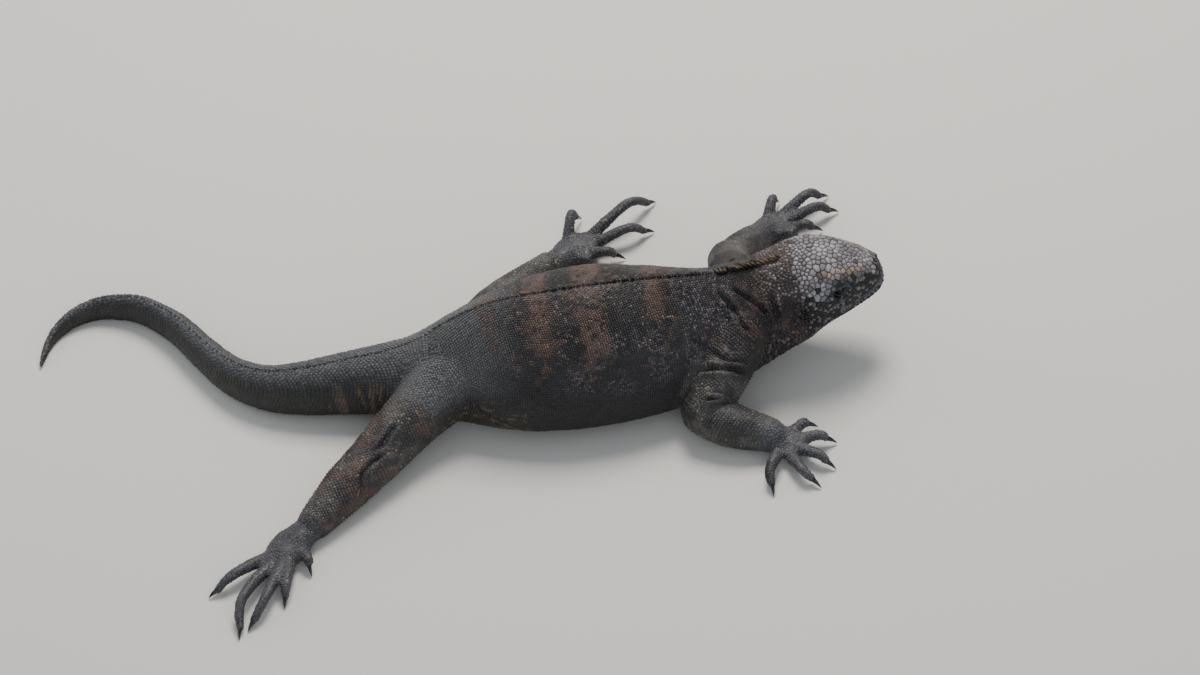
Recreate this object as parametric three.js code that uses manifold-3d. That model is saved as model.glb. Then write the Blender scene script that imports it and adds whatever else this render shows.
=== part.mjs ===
// Marine iguana lying stretched out, life size, as a still museum model.
// Millimetres, +Z up, +X towards the snout, +Y to the animal's left.
import * as THREE from 'three';
import { mergeVertices } from 'three/addons/utils/BufferGeometryUtils.js';
import Module from 'manifold-3d';

const wasm = await Module();
wasm.setup();

// Driving dimensions
const seam = 0.3;
const trunkSides = 18;
const limbSides = 10;
const digitSides = 7;
const trunkStep = 8;
const headStep = 4;
const originX = -84.5;
const originY = -14;
const tubeRows = 5;
const floorBlock = { wide: 900, tall: 40 };

// Trunk sections from the nose to the tip of the tail.
// x, y: midline on the floor plan; top, low: heights; half: half width;
// belt: height of the widest level; roof: 2 is round, less is peaked; keel: 2 is round, more is flat.
const trunkSections = [
  { x: 171.8, y: 7, top: 52, low: 44.5, half: 3.5, belt: 48, roof: 2.2, keel: 2.2 },
  { x: 169, y: 7, top: 58, low: 39.5, half: 9.5, belt: 48, roof: 2.3, keel: 2.2 },
  { x: 162.5, y: 7, top: 63.5, low: 35.5, half: 14, belt: 48, roof: 2.5, keel: 2.2 },
  { x: 154, y: 7, top: 68.5, low: 31.5, half: 17.5, belt: 48, roof: 2.6, keel: 2.2 },
  { x: 144, y: 6.5, top: 73, low: 27.5, half: 21, belt: 47, roof: 2.8, keel: 2.2 },
  { x: 132, y: 6, top: 76, low: 21.5, half: 24, belt: 44, roof: 2.8, keel: 2.2 },
  { x: 120, y: 5, top: 75.5, low: 15, half: 26, belt: 40, roof: 2.5, keel: 2.2 },
  { x: 107, y: 4, top: 73, low: 9, half: 27, belt: 36, roof: 2.1, keel: 2.2 },
  { x: 93, y: 2.5, top: 71.5, low: 4, half: 30.5, belt: 33, roof: 1.6, keel: 2.3 },
  { x: 77, y: 1, top: 72, low: 0, half: 36, belt: 30, roof: 1.35, keel: 2.5 },
  { x: 58, y: 0, top: 74.5, low: -1.5, half: 43, belt: 26, roof: 1.32, keel: 2.7 },
  { x: 30, y: 0, top: 77, low: -1.5, half: 49.5, belt: 23, roof: 1.5, keel: 2.7 },
  { x: 0, y: 0, top: 78, low: -1.5, half: 52.5, belt: 22, roof: 1.72, keel: 2.7 },
  { x: -30, y: 0, top: 77.5, low: -1.5, half: 51.5, belt: 22, roof: 1.68, keel: 2.7 },
  { x: -60, y: 0, top: 75, low: -1.5, half: 44.5, belt: 22, roof: 1.45, keel: 2.6 },
  { x: -85, y: 0.5, top: 65, low: -1.5, half: 33, belt: 22, roof: 1.45, keel: 2.5 },
  { x: -106, y: 2, top: 51, low: -1.5, half: 24.5, belt: 20, roof: 1.65, keel: 2.4 },
  { x: -128, y: 5, top: 42, low: -1.5, half: 20.5, belt: 19, roof: 1.8, keel: 2.3 },
  { x: -152, y: 7.5, top: 37, low: -1.5, half: 17.5, belt: 17, roof: 1.9, keel: 2.3 },
  { x: -176, y: 10, top: 32.5, low: -1.5, half: 15, belt: 15, roof: 1.9, keel: 2.3 },
  { x: -200, y: 16.5, top: 28, low: -1.5, half: 12.5, belt: 13, roof: 1.8, keel: 2.3 },
  { x: -221, y: 32, top: 25, low: -1.5, half: 10.5, belt: 11, roof: 1.7, keel: 2.3 },
  { x: -238, y: 55, top: 23, low: -1.5, half: 9, belt: 10, roof: 1.7, keel: 2.3 },
  { x: -255, y: 81, top: 21.5, low: -1.5, half: 8, belt: 9, roof: 1.7, keel: 2.3 },
  { x: -277, y: 102, top: 19.5, low: -1.2, half: 6.8, belt: 8.5, roof: 1.7, keel: 2.3 },
  { x: -300, y: 110, top: 16, low: -1.2, half: 5.6, belt: 7, roof: 1.7, keel: 2.3 },
  { x: -318, y: 107, top: 12.5, low: -1.2, half: 4.4, belt: 5.5, roof: 1.8, keel: 2.3 },
  { x: -331, y: 97, top: 9, low: -0.9, half: 3.1, belt: 4, roof: 1.9, keel: 2.3 },
  { x: -338, y: 84, top: 5.5, low: -0.6, half: 2, belt: 2.5, roof: 2, keel: 2.2 },
  { x: -341, y: 71, top: 2.8, low: 0.3, half: 0.9, belt: 1.5, roof: 2, keel: 2 },
];

// Where the trunk is parted, counted in sections from the nose.
const trunkParts = [
  { name: 'head', from: 0, to: 6.4 },
  { name: 'neck', from: 6.4, to: 9.1 },
  { name: 'torso_front', from: 9.1, to: 11.3 },
  { name: 'torso_middle', from: 11.3, to: 13.6 },
  { name: 'torso_rear', from: 13.6, to: 16.3 },
  { name: 'tail_base', from: 16.3, to: 19.3 },
  { name: 'tail_front', from: 19.3, to: 21.4 },
  { name: 'tail_middle', from: 21.4, to: 23.3 },
  { name: 'tail_rear', from: 23.3, to: 25.6 },
  { name: 'tail_tip', from: 25.6, to: 29 },
];

// Limbs: joint centres, and radii along each length. A digit leaves the palm at the root angle,
// has its knuckle at the bend angle and its claw's tip at the aim angle.
const limbs = {
  arm_right: {
    upper: {
      name: 'upper_arm_right',
      points: [[84, -16, 40], [71, -38, 30], [56, -56, 18]],
      radii: [18, 15.5, 13.5],
    },
    lower: {
      name: 'forearm_right',
      points: [[55, -56, 16], [70, -66, 13], [91, -74, 9]],
      radii: [13, 13, 10],
    },
    end: { name: 'hand_right', palm: [100, -78], turn: -35, long: 14, wide: 10.5, thick: 6 },
    digits: [
      { root: 55, bend: 42, aim: 30, reach: 24, lift: 8 },
      { root: 2, bend: -2, aim: -5, reach: 30, lift: 8 },
      { root: -51, bend: -42, aim: -41, reach: 35, lift: 8 },
      { root: -100, bend: -76, aim: -66, reach: 39, lift: 8 },
      { root: -132, bend: -118, aim: -108, reach: 39, lift: 8 },
    ],
  },
  arm_left: {
    upper: {
      name: 'upper_arm_left',
      points: [[86, 16, 40], [85, 42, 30], [85, 62, 20]],
      radii: [17, 14, 12.5],
    },
    lower: {
      name: 'forearm_left',
      points: [[85, 62, 18], [95, 76, 14], [106, 90, 8]],
      radii: [12, 11, 9],
    },
    end: { name: 'hand_left', palm: [115, 99], turn: 35, long: 14, wide: 10.5, thick: 6 },
    digits: [
      { root: -85, bend: -41, aim: -30, reach: 22, lift: 9 },
      { root: -42, bend: -14, aim: -7, reach: 32, lift: 10 },
      { root: 15, bend: 15, aim: 14, reach: 45, lift: 11 },
      { root: 55, bend: 37, aim: 33, reach: 47, lift: 12 },
      { root: 105, bend: 79, aim: 72, reach: 28, lift: 12 },
    ],
  },
  leg_right: {
    upper: {
      name: 'thigh_right',
      points: [[-84, -8, 30], [-110, -28, 22], [-138, -54, 16]],
      radii: [24, 18.5, 15.5],
    },
    lower: {
      name: 'shin_right',
      points: [[-138, -54, 15], [-157, -71, 12], [-178, -92, 8]],
      radii: [15, 14, 10],
    },
    end: { name: 'foot_right', palm: [-194, -106], turn: -130, long: 17, wide: 12, thick: 6.5 },
    digits: [
      { root: -30, bend: -48, aim: -61, reach: 24, lift: 7 },
      { root: -80, bend: -95, aim: -97, reach: 42, lift: 8 },
      { root: -108, bend: -111, aim: -116, reach: 61, lift: 9 },
      { root: -142, bend: -128, aim: -118, reach: 68, lift: 9 },
      { root: -162, bend: -153, aim: -152, reach: 55, lift: 8 },
    ],
  },
  leg_left: {
    upper: {
      name: 'thigh_left',
      points: [[-87, 5, 25], [-76, 34, 16], [-62, 57, 12]],
      radii: [20, 14, 12.5],
    },
    lower: {
      name: 'shin_left',
      points: [[-62, 57, 12], [-46, 72, 10], [-25, 91, 7]],
      radii: [12.5, 11.5, 9],
    },
    end: { name: 'foot_left', palm: [-7, 104], turn: 30, long: 17, wide: 12, thick: 6.5 },
    digits: [
      { root: -100, bend: -62, aim: -53, reach: 20, lift: 8 },
      { root: -47, bend: -23, aim: -17, reach: 32, lift: 9 },
      { root: 0, bend: 10, aim: 12, reach: 52, lift: 12 },
      { root: 40, bend: 34, aim: 34, reach: 66, lift: 15 },
      { root: 130, bend: 88, aim: 77, reach: 32, lift: 15 },
    ],
  },
};

// Digits and claws
const digitRootRadius = 3.5;
const digitKnuckleRadius = 2.7;
const digitTipRadius = 2;
const palmHeight = 5;
const digitStart = 0.55;
const knucklePlace = 0.66;
const clawLength = 8;
const clawSides = 5;
const clawRows = 3;
const clawArch = 1.6;
const clawWidth = 0.85;
const clawBase = 0.82;
const clawPoint = 0.22;
const clawTip = 0.6;

// Crest spines: a mane of long ones on the nape and low saw teeth down the back and tail.
// x from and to along the midline, tip heights at both ends, spacing, base length and width.
const crest = [
  { from: 116, to: 78, tall: 6.5, tallEnd: 5, spacing: 4.2, long: 4.6, wide: 2.4, lean: 0.75 },
  { from: 75, to: -64, tall: 3, tallEnd: 2, spacing: 5, long: 4.4, wide: 2, lean: 0.35 },
  { from: -110, to: -300, tall: 1.8, tallEnd: 2, spacing: 6.5, long: 5.2, wide: 1.8, lean: 0.4 },
];
const spineSink = 1.6;
const spineVariation = 0.2;
const seed = 7;

// Head features
const eye = { x: 146, z: 55, radius: 4.6, inset: 3.4 };
const headMiddle = 7;
const lid = { long: 8.2, tall: 5.8, proud: 1.6, sunk: 2.2, slope: 0.2 };
const lidOpening = { long: 4.7, tall: 2.5, deep: 5 };
const mouth = { from: 139, to: 170, back: 37, front: 46.5, sag: 1.2, height: 0.8, depth: 1.4 };
const lip = { radius: 1.3, offset: 1.5, sunk: 0.45, step: 4 };
const nostril = { x: 167, z: 58, side: 6.2, long: 1.8, radius: 1.5 };
const ear = { x: 124, z: 47, long: 3.6, tall: 5, deep: 2.2, proud: 0.6 };

const materials = {
  hide: { color: 0x35322f, roughness: 0.72, metalness: 0 },
  crown: { color: 0x6f6b68, roughness: 0.75, metalness: 0 },
  limb: { color: 0x3f3b37, roughness: 0.75, metalness: 0 },
  claw: { color: 0x0d0c0b, roughness: 0.3, metalness: 0 },
  eye: { color: 0x140d08, roughness: 0.08, metalness: 0 },
};

// Value of one key at a place along the sections, on a Catmull-Rom curve.
function sectionAt(place) {
  const last = trunkSections.length - 1;
  const index = Math.min(Math.floor(place), last - 1);
  const part = place - index;
  const before = trunkSections[Math.max(index - 1, 0)];
  const start = trunkSections[index];
  const end = trunkSections[index + 1];
  const after = trunkSections[Math.min(index + 2, last)];
  const section = {};
  for (const key of Object.keys(start)) {
    const slopeIn = (end[key] - before[key]) / 2;
    const slopeOut = (after[key] - start[key]) / 2;
    const square = part * part;
    const cube = square * part;
    section[key] = (2 * cube - 3 * square + 1) * start[key] + (cube - 2 * square + part) * slopeIn
      + (3 * square - 2 * cube) * end[key] + (cube - square) * slopeOut;
  }
  return section;
}

// Plan direction of the midline, pointing to the tail.
function headingAt(place) {
  const last = trunkSections.length - 1;
  const ahead = sectionAt(Math.min(place + 0.05, last));
  const behind = sectionAt(Math.max(place - 0.05, 0));
  return new THREE.Vector2(ahead.x - behind.x, ahead.y - behind.y).normalize();
}

function power(value, exponent) {
  return Math.sign(value) * Math.abs(value) ** exponent;
}

// One point of the trunk's surface: turn 0 is the animal's left, a quarter turn is the back.
function trunkPoint(place, turn, extra) {
  const section = sectionAt(place);
  const heading = headingAt(place);
  const side = Math.cos(turn);
  const rise = Math.sin(turn);
  const bend = 2 / (rise > 0 ? section.roof : section.keel);
  const span = (rise > 0 ? section.top - section.belt : section.belt - section.low) + extra;
  const across = (section.half + extra) * power(side, bend);
  return new THREE.Vector3(
    section.x + heading.y * across,
    section.y - heading.x * across,
    section.belt + span * power(rise, bend),
  );
}

// Half width of the trunk at a place and a height.
function halfWidthAt(place, height) {
  const section = sectionAt(place);
  const above = height > section.belt;
  const exponent = above ? section.roof : section.keel;
  const span = above ? section.top - section.belt : section.belt - section.low;
  const ratio = Math.min(Math.abs(height - section.belt) / span, 1);
  return section.half * (1 - ratio ** exponent) ** (1 / exponent);
}

// Place on the sections that has a given x, ahead of the tail's last turn.
function placeOf(x) {
  let low = 0;
  let high = 26;
  for (let step = 0; step < 30; step += 1) {
    const middle = (low + high) / 2;
    if (sectionAt(middle).x > x) {
      low = middle;
    } else {
      high = middle;
    }
  }
  return low;
}

// A closed surface through rings of points, with a fan at each end.
function loft(rings) {
  const sides = rings[0].length;
  const positions = [];
  const indices = [];
  for (const ring of rings) {
    for (const point of ring) {
      positions.push(point.x, point.y, point.z);
    }
  }
  for (let row = 0; row < rings.length - 1; row += 1) {
    for (let side = 0; side < sides; side += 1) {
      const next = (side + 1) % sides;
      const a = row * sides + side;
      const b = row * sides + next;
      const c = a + sides;
      const d = b + sides;
      indices.push(a, b, d, a, d, c);
    }
  }
  const ends = [rings[0], rings[rings.length - 1]];
  ends.forEach((ring, end) => {
    const centre = new THREE.Vector3();
    ring.forEach((point) => centre.add(point));
    centre.divideScalar(sides);
    const hub = positions.length / 3;
    positions.push(centre.x, centre.y, centre.z);
    const first = end === 0 ? 0 : (rings.length - 1) * sides;
    for (let side = 0; side < sides; side += 1) {
      const next = (side + 1) % sides;
      if (end === 0) {
        indices.push(hub, first + next, first + side);
      } else {
        indices.push(hub, first + side, first + next);
      }
    }
  });
  const geometry = new THREE.BufferGeometry();
  geometry.setAttribute('position', new THREE.Float32BufferAttribute(positions, 3));
  geometry.setIndex(indices);
  return geometry;
}

function signedVolume(geometry) {
  const position = geometry.getAttribute('position');
  const index = geometry.getIndex();
  const a = new THREE.Vector3();
  const b = new THREE.Vector3();
  const c = new THREE.Vector3();
  let volume = 0;
  for (let corner = 0; corner < index.count; corner += 3) {
    a.fromBufferAttribute(position, index.getX(corner));
    b.fromBufferAttribute(position, index.getX(corner + 1));
    c.fromBufferAttribute(position, index.getX(corner + 2));
    volume += a.dot(b.cross(c)) / 6;
  }
  return volume;
}

// Turn a closed geometry into a solid that can be joined and cut.
function solidOf(geometry) {
  const bare = geometry.clone();
  bare.deleteAttribute('normal');
  bare.deleteAttribute('uv');
  const merged = mergeVertices(bare, 1e-4);
  const triVerts = new Uint32Array(merged.getIndex().array);
  if (signedVolume(merged) < 0) {
    triVerts.reverse();
  }
  const vertProperties = new Float32Array(merged.getAttribute('position').array);
  return new wasm.Manifold(new wasm.Mesh({ numProp: 3, vertProperties, triVerts }));
}

// Keep the largest closed surface of a solid and return it as a geometry.
function geometryOf(solid) {
  const pieces = solid.decompose();
  const volumeOf = (piece) => Math.abs(signedVolume(rawGeometry(piece)));
  const sorted = pieces.map((piece) => ({ piece, volume: volumeOf(piece) }));
  sorted.sort((one, two) => two.volume - one.volume);
  return rawGeometry(sorted[0].piece);
}

function rawGeometry(solid) {
  const mesh = solid.getMesh();
  const positions = [];
  for (let vertex = 0; vertex < mesh.numVert; vertex += 1) {
    const offset = vertex * mesh.numProp;
    positions.push(...mesh.vertProperties.slice(offset, offset + 3));
  }
  const geometry = new THREE.BufferGeometry();
  geometry.setAttribute('position', new THREE.Float32BufferAttribute(positions, 3));
  geometry.setIndex(Array.from(mesh.triVerts));
  return geometry;
}

// Rings of the trunk between two places, at even steps.
function trunkRings(from, to, extra) {
  const start = sectionAt(from);
  const end = sectionAt(to);
  const step = from < 6 ? headStep : trunkStep;
  const length = Math.hypot(end.x - start.x, end.y - start.y) * 1.05;
  const count = Math.max(Math.round(length / step), 4);
  const rings = [];
  for (let row = 0; row <= count; row += 1) {
    const place = from + ((to - from) * row) / count;
    const ring = [];
    for (let side = 0; side < trunkSides; side += 1) {
      ring.push(trunkPoint(place, (side / trunkSides) * Math.PI * 2, extra));
    }
    rings.push(ring);
  }
  return rings;
}

// Move a place by a distance along the midline.
function placeBeside(place, distance) {
  const here = sectionAt(place);
  const near = sectionAt(place + 0.02);
  const perPlace = Math.hypot(near.x - here.x, near.y - here.y) / 0.02;
  return place + distance / perPlace;
}

const last = trunkSections.length - 1;
const floorGeometry = new THREE.BoxGeometry(floorBlock.wide, floorBlock.wide, floorBlock.tall);
const floorCut = solidOf(floorGeometry.translate(originX, 0, -floorBlock.tall / 2));
const trunkClear = solidOf(loft(trunkRings(3, last - 0.5, seam)));

// A tube of rings along a smooth line, with rounded ends.
function tubeSolid(points, radii, sides, extra, rows) {
  const curve = new THREE.CatmullRomCurve3(points.map((point) => new THREE.Vector3(...point)));
  const radiusPoints = radii.map((radius, row) => new THREE.Vector3(row, radius, 0));
  const radiusCurve = new THREE.CatmullRomCurve3(radiusPoints);
  const startRadius = radii[0] + extra;
  const endRadius = radii[radii.length - 1] + extra;
  const rings = [];
  const up = new THREE.Vector3(0, 0, 1);
  function addRing(share, shift, radius) {
    const tangent = curve.getTangentAt(share);
    const centre = curve.getPointAt(share).addScaledVector(tangent, shift);
    const side = new THREE.Vector3().crossVectors(up, tangent).normalize();
    const rise = new THREE.Vector3().crossVectors(tangent, side);
    const ring = [];
    for (let corner = 0; corner < sides; corner += 1) {
      const turn = (corner / sides) * Math.PI * 2;
      ring.push(centre.clone()
        .addScaledVector(side, Math.cos(turn) * radius)
        .addScaledVector(rise, Math.sin(turn) * radius));
    }
    rings.push(ring);
  }
  addRing(0, -startRadius * 0.9, startRadius * 0.35);
  addRing(0, -startRadius * 0.6, startRadius * 0.78);
  for (let row = 0; row <= rows; row += 1) {
    const share = row / rows;
    addRing(share, 0, radiusCurve.getPoint(share).y + extra);
  }
  addRing(1, endRadius * 0.6, endRadius * 0.78);
  addRing(1, endRadius * 0.9, endRadius * 0.35);
  return solidOf(loft(rings));
}

function ellipsoid(x, y, z, long, wide, tall, turn = 0, rows = 8, columns = 12) {
  const geometry = new THREE.SphereGeometry(1, columns, rows);
  geometry.scale(long, wide, tall);
  geometry.rotateZ(turn);
  geometry.translate(x, y, z);
  return solidOf(geometry);
}

function polar(centre, degrees, distance, height) {
  const angle = THREE.MathUtils.degToRad(degrees);
  return [centre[0] + Math.cos(angle) * distance, centre[1] + Math.sin(angle) * distance, height];
}

// Path of one digit: out of the palm, over the knuckle and down to the claw.
function digitPath(end, digit) {
  const start = polar(end.palm, digit.root, end.wide * digitStart, palmHeight);
  const knuckle = polar(end.palm, digit.bend, digit.reach * knucklePlace, digit.lift);
  const tip = polar(end.palm, digit.aim, digit.reach, clawTip);
  const share = clawLength / digit.reach;
  const stop = knuckle.map((value, axis) => tip[axis] + (value - tip[axis]) * Math.min(share * 2.4, 0.75));
  return { start, knuckle, stop, tip };
}

function digitSolid(path, extra = 0) {
  const { start, knuckle, stop } = path;
  const radii = [digitRootRadius, digitKnuckleRadius, digitTipRadius];
  return tubeSolid([start, knuckle, stop], radii, digitSides, extra, tubeRows);
}

// A claw that leaves the digit's end and curves down to the floor.
function clawSolid(path) {
  const stop = new THREE.Vector3(...path.stop);
  const tip = new THREE.Vector3(...path.tip);
  const knuckle = new THREE.Vector3(...path.knuckle);
  const lead = stop.clone().sub(knuckle).normalize();
  const middle = stop.clone().lerp(tip, 0.5);
  middle.z += clawArch;
  const start = stop.clone().addScaledVector(lead, -0.5);
  const curve = new THREE.CatmullRomCurve3([start, middle, tip]);
  const rings = [];
  const up = new THREE.Vector3(0, 0, 1);
  for (let row = 0; row <= clawRows; row += 1) {
    const share = row / clawRows;
    const radius = digitTipRadius * clawBase * (1 - share) ** 0.8 + clawPoint;
    const tangent = curve.getTangentAt(share);
    const side = new THREE.Vector3().crossVectors(up, tangent).normalize();
    const rise = new THREE.Vector3().crossVectors(tangent, side);
    const centre = curve.getPointAt(share);
    const ring = [];
    for (let corner = 0; corner < clawSides; corner += 1) {
      const turn = (corner / clawSides) * Math.PI * 2;
      ring.push(centre.clone()
        .addScaledVector(side, Math.cos(turn) * radius * clawWidth)
        .addScaledVector(rise, Math.sin(turn) * radius));
    }
    rings.push(ring);
  }
  return solidOf(loft(rings));
}

// Even random numbers from 0 to 1, the same on each run.
function randomFrom(start) {
  let state = start;
  return () => {
    state = (state * 1664525 + 1013904223) % 4294967296;
    return state / 4294967296;
  };
}

// A flat four-sided spine, rooted in the ridge and leaning to the tail.
function spineSolid(place, row, tall) {
  const heading = headingAt(place);
  const foot = trunkPoint(place, Math.PI / 2, 0);
  const geometry = new THREE.ConeGeometry(1, tall + spineSink, 4);
  geometry.translate(0, (tall + spineSink) / 2, 0);
  geometry.scale(row.long / 2, 1, row.wide / 2);
  geometry.rotateZ(-row.lean);
  geometry.rotateX(Math.PI / 2);
  geometry.rotateZ(Math.atan2(heading.y, heading.x));
  geometry.translate(foot.x, foot.y, foot.z - spineSink);
  return solidOf(geometry);
}

// Places of all spines, evenly spaced along the ridge, with their heights.
function crestSpines() {
  const random = randomFrom(seed);
  const spines = [];
  for (const row of crest) {
    const from = placeOf(row.from);
    const to = placeOf(row.to);
    let place = from;
    while (place < to) {
      const share = (place - from) / (to - from);
      const even = row.tall + (row.tallEnd - row.tall) * share;
      spines.push({ place, row, tall: even * (1 + (random() - 0.5) * 2 * spineVariation) });
      place = placeBeside(place, row.spacing);
    }
  }
  return spines;
}

const group = new THREE.Group();
group.position.set(-originX, -originY, 0);

function addMesh(name, solid, finish) {
  const geometry = geometryOf(solid);
  geometry.computeVertexNormals();
  const material = new THREE.MeshStandardMaterial(materials[finish]);
  const mesh = new THREE.Mesh(geometry, material);
  mesh.name = name;
  group.add(mesh);
}

// Line of one lip, from one corner of the mouth round the snout to the other.
function lipPath(offset) {
  const points = [];
  for (const side of [-1, 1]) {
    const row = [];
    for (let x = mouth.from; x < mouth.to; x += lip.step) {
      const place = placeOf(x);
      const height = mouthHeight(x) + offset;
      const y = sectionAt(place).y + side * (halfWidthAt(place, height) - lip.radius * lip.sunk);
      row.push(new THREE.Vector3(x, y, height));
    }
    if (side === -1) {
      points.push(...row);
      points.push(new THREE.Vector3(mouth.to + 0.8, headMiddle, mouthHeight(mouth.to + 1) + offset));
    } else {
      points.push(...row.reverse());
    }
  }
  return points;
}

// Height of the mouth line along the head.
function mouthHeight(x) {
  const share = (x - mouth.from) / (mouth.to - mouth.from);
  return mouth.back + (mouth.front - mouth.back) * share - mouth.sag * Math.sin(share * Math.PI);
}

// The head with lips, mouth line, lids, nostrils and ear drums.
function headSolid(rings) {
  let head = solidOf(loft(rings));
  const profile = new THREE.Shape();
  profile.absarc(0, 0, lip.radius, 0, Math.PI * 2);
  for (const offset of [lip.offset, -lip.offset]) {
    const path = new THREE.CatmullRomCurve3(lipPath(offset));
    const settings = { extrudePath: path, steps: 18, curveSegments: 3, bevelEnabled: false };
    head = head.add(solidOf(new THREE.ExtrudeGeometry(profile, settings)));
  }
  const slabRings = [];
  const slabReach = 40;
  for (let x = mouth.from; x <= mouth.to + 6; x += 5) {
    const height = mouthHeight(x);
    slabRings.push([
      new THREE.Vector3(x, headMiddle - slabReach, height - mouth.height / 2),
      new THREE.Vector3(x, headMiddle + slabReach, height - mouth.height / 2),
      new THREE.Vector3(x, headMiddle + slabReach, height + mouth.height / 2),
      new THREE.Vector3(x, headMiddle - slabReach, height + mouth.height / 2),
    ]);
  }
  const core = solidOf(loft(trunkRings(0.25, 5, -mouth.depth)));
  head = head.subtract(solidOf(loft(slabRings)).subtract(core));
  for (const side of [-1, 1]) {
    const place = placeOf(eye.x);
    const y = sectionAt(place).y + side * halfWidthAt(place, eye.z);
    const turn = -side * lid.slope;
    const socket = eye.radius + seam;
    const ball = ellipsoid(eye.x, y - side * eye.inset, eye.z, socket, socket, socket);
    const opening = ellipsoid(eye.x, y, eye.z, lidOpening.long, lidOpening.deep, lidOpening.tall, turn);
    const lidY = y - side * lid.sunk;
    const lids = ellipsoid(eye.x, lidY, eye.z, lid.long, lid.sunk + lid.proud, lid.tall, turn);
    head = head.add(lids).subtract(ball).subtract(opening);
    const { long, radius } = nostril;
    const nostrilY = headMiddle + side * nostril.side;
    head = head.subtract(ellipsoid(nostril.x, nostrilY, nostril.z, long, radius, radius, 0, 6, 8));
    const earPlace = placeOf(ear.x);
    const earY = sectionAt(earPlace).y + side * (halfWidthAt(earPlace, ear.z) + ear.proud);
    head = head.subtract(ellipsoid(ear.x, earY, ear.z, ear.long, ear.deep, ear.tall));
  }
  return head;
}

const spines = crestSpines();
for (const part of trunkParts) {
  const from = part.from === 0 ? 0 : placeBeside(part.from, seam / 2);
  const to = part.to === last ? last : placeBeside(part.to, -seam / 2);
  const rings = trunkRings(from, to, 0);
  let solid = part.name === 'head' ? headSolid(rings) : solidOf(loft(rings));
  for (const { place, row, tall } of spines) {
    const first = placeBeside(part.from, row.long * 0.75);
    const final = placeBeside(part.to, -row.long * 1.1);
    if (place > first && place < final) {
      solid = solid.add(spineSolid(place, row, tall));
    }
  }
  addMesh(part.name, solid.subtract(floorCut), part.name === 'head' ? 'crown' : 'hide');
}

for (const side of [-1, 1]) {
  const place = placeOf(eye.x);
  const y = sectionAt(place).y + side * (halfWidthAt(place, eye.z) - eye.inset);
  const ball = ellipsoid(eye.x, y, eye.z, eye.radius, eye.radius, eye.radius, 0, 10, 14);
  addMesh(side < 0 ? 'eye_right' : 'eye_left', ball, 'eye');
}

const digitNames = ['first', 'second', 'third', 'fourth', 'fifth'];
for (const limb of Object.values(limbs)) {
  const { upper, lower, end, digits } = limb;
  const upperSolid = tubeSolid(upper.points, upper.radii, limbSides, 0, tubeRows);
  const upperClear = tubeSolid(upper.points, upper.radii, limbSides, seam, tubeRows);
  const lowerSolid = tubeSolid(lower.points, lower.radii, limbSides, 0, tubeRows);
  const lowerClear = tubeSolid(lower.points, lower.radii, limbSides, seam, tubeRows);
  addMesh(upper.name, upperSolid.subtract(trunkClear).subtract(floorCut), 'limb');
  addMesh(lower.name, lowerSolid.subtract(upperClear).subtract(trunkClear).subtract(floorCut), 'limb');
  const turn = THREE.MathUtils.degToRad(end.turn);
  let palm = ellipsoid(end.palm[0], end.palm[1], palmHeight, end.long, end.wide, end.thick, turn);
  const claws = digits.map((digit) => {
    const path = digitPath(end, digit);
    const claw = clawSolid(path);
    palm = palm.add(digitSolid(path));
    return claw;
  });
  palm = palm.subtract(lowerClear).subtract(upperClear).subtract(trunkClear);
  claws.forEach((claw, row) => {
    const digitBody = digitSolid(digitPath(end, digits[row]), seam);
    addMesh(`claw_${end.name}_${digitNames[row]}`, claw.subtract(digitBody).subtract(floorCut), 'claw');
  });
  addMesh(end.name, palm.subtract(floorCut), 'limb');
}

export default group;
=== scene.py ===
import math

import bmesh
import bpy
import numpy as np
from mathutils import Matrix, Vector
from mathutils.bvhtree import BVHTree
from mathutils.kdtree import KDTree


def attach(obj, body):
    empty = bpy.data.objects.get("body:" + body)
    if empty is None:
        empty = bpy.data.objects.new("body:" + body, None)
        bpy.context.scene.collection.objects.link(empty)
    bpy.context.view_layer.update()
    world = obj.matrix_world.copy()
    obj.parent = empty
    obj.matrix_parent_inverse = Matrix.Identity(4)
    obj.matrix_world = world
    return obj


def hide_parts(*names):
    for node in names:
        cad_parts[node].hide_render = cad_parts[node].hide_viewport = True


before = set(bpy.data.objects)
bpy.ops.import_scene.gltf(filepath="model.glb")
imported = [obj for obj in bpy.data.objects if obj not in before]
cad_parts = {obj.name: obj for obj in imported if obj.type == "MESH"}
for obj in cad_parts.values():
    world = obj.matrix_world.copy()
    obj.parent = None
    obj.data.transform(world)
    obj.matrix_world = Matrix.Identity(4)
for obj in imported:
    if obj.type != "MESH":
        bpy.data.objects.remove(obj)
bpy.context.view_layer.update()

mm = 0.001
bodyShift = np.array([84.5, 14.0, 0.0])  # from the animal's own midline frame to the model's frame, in mm

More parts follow.
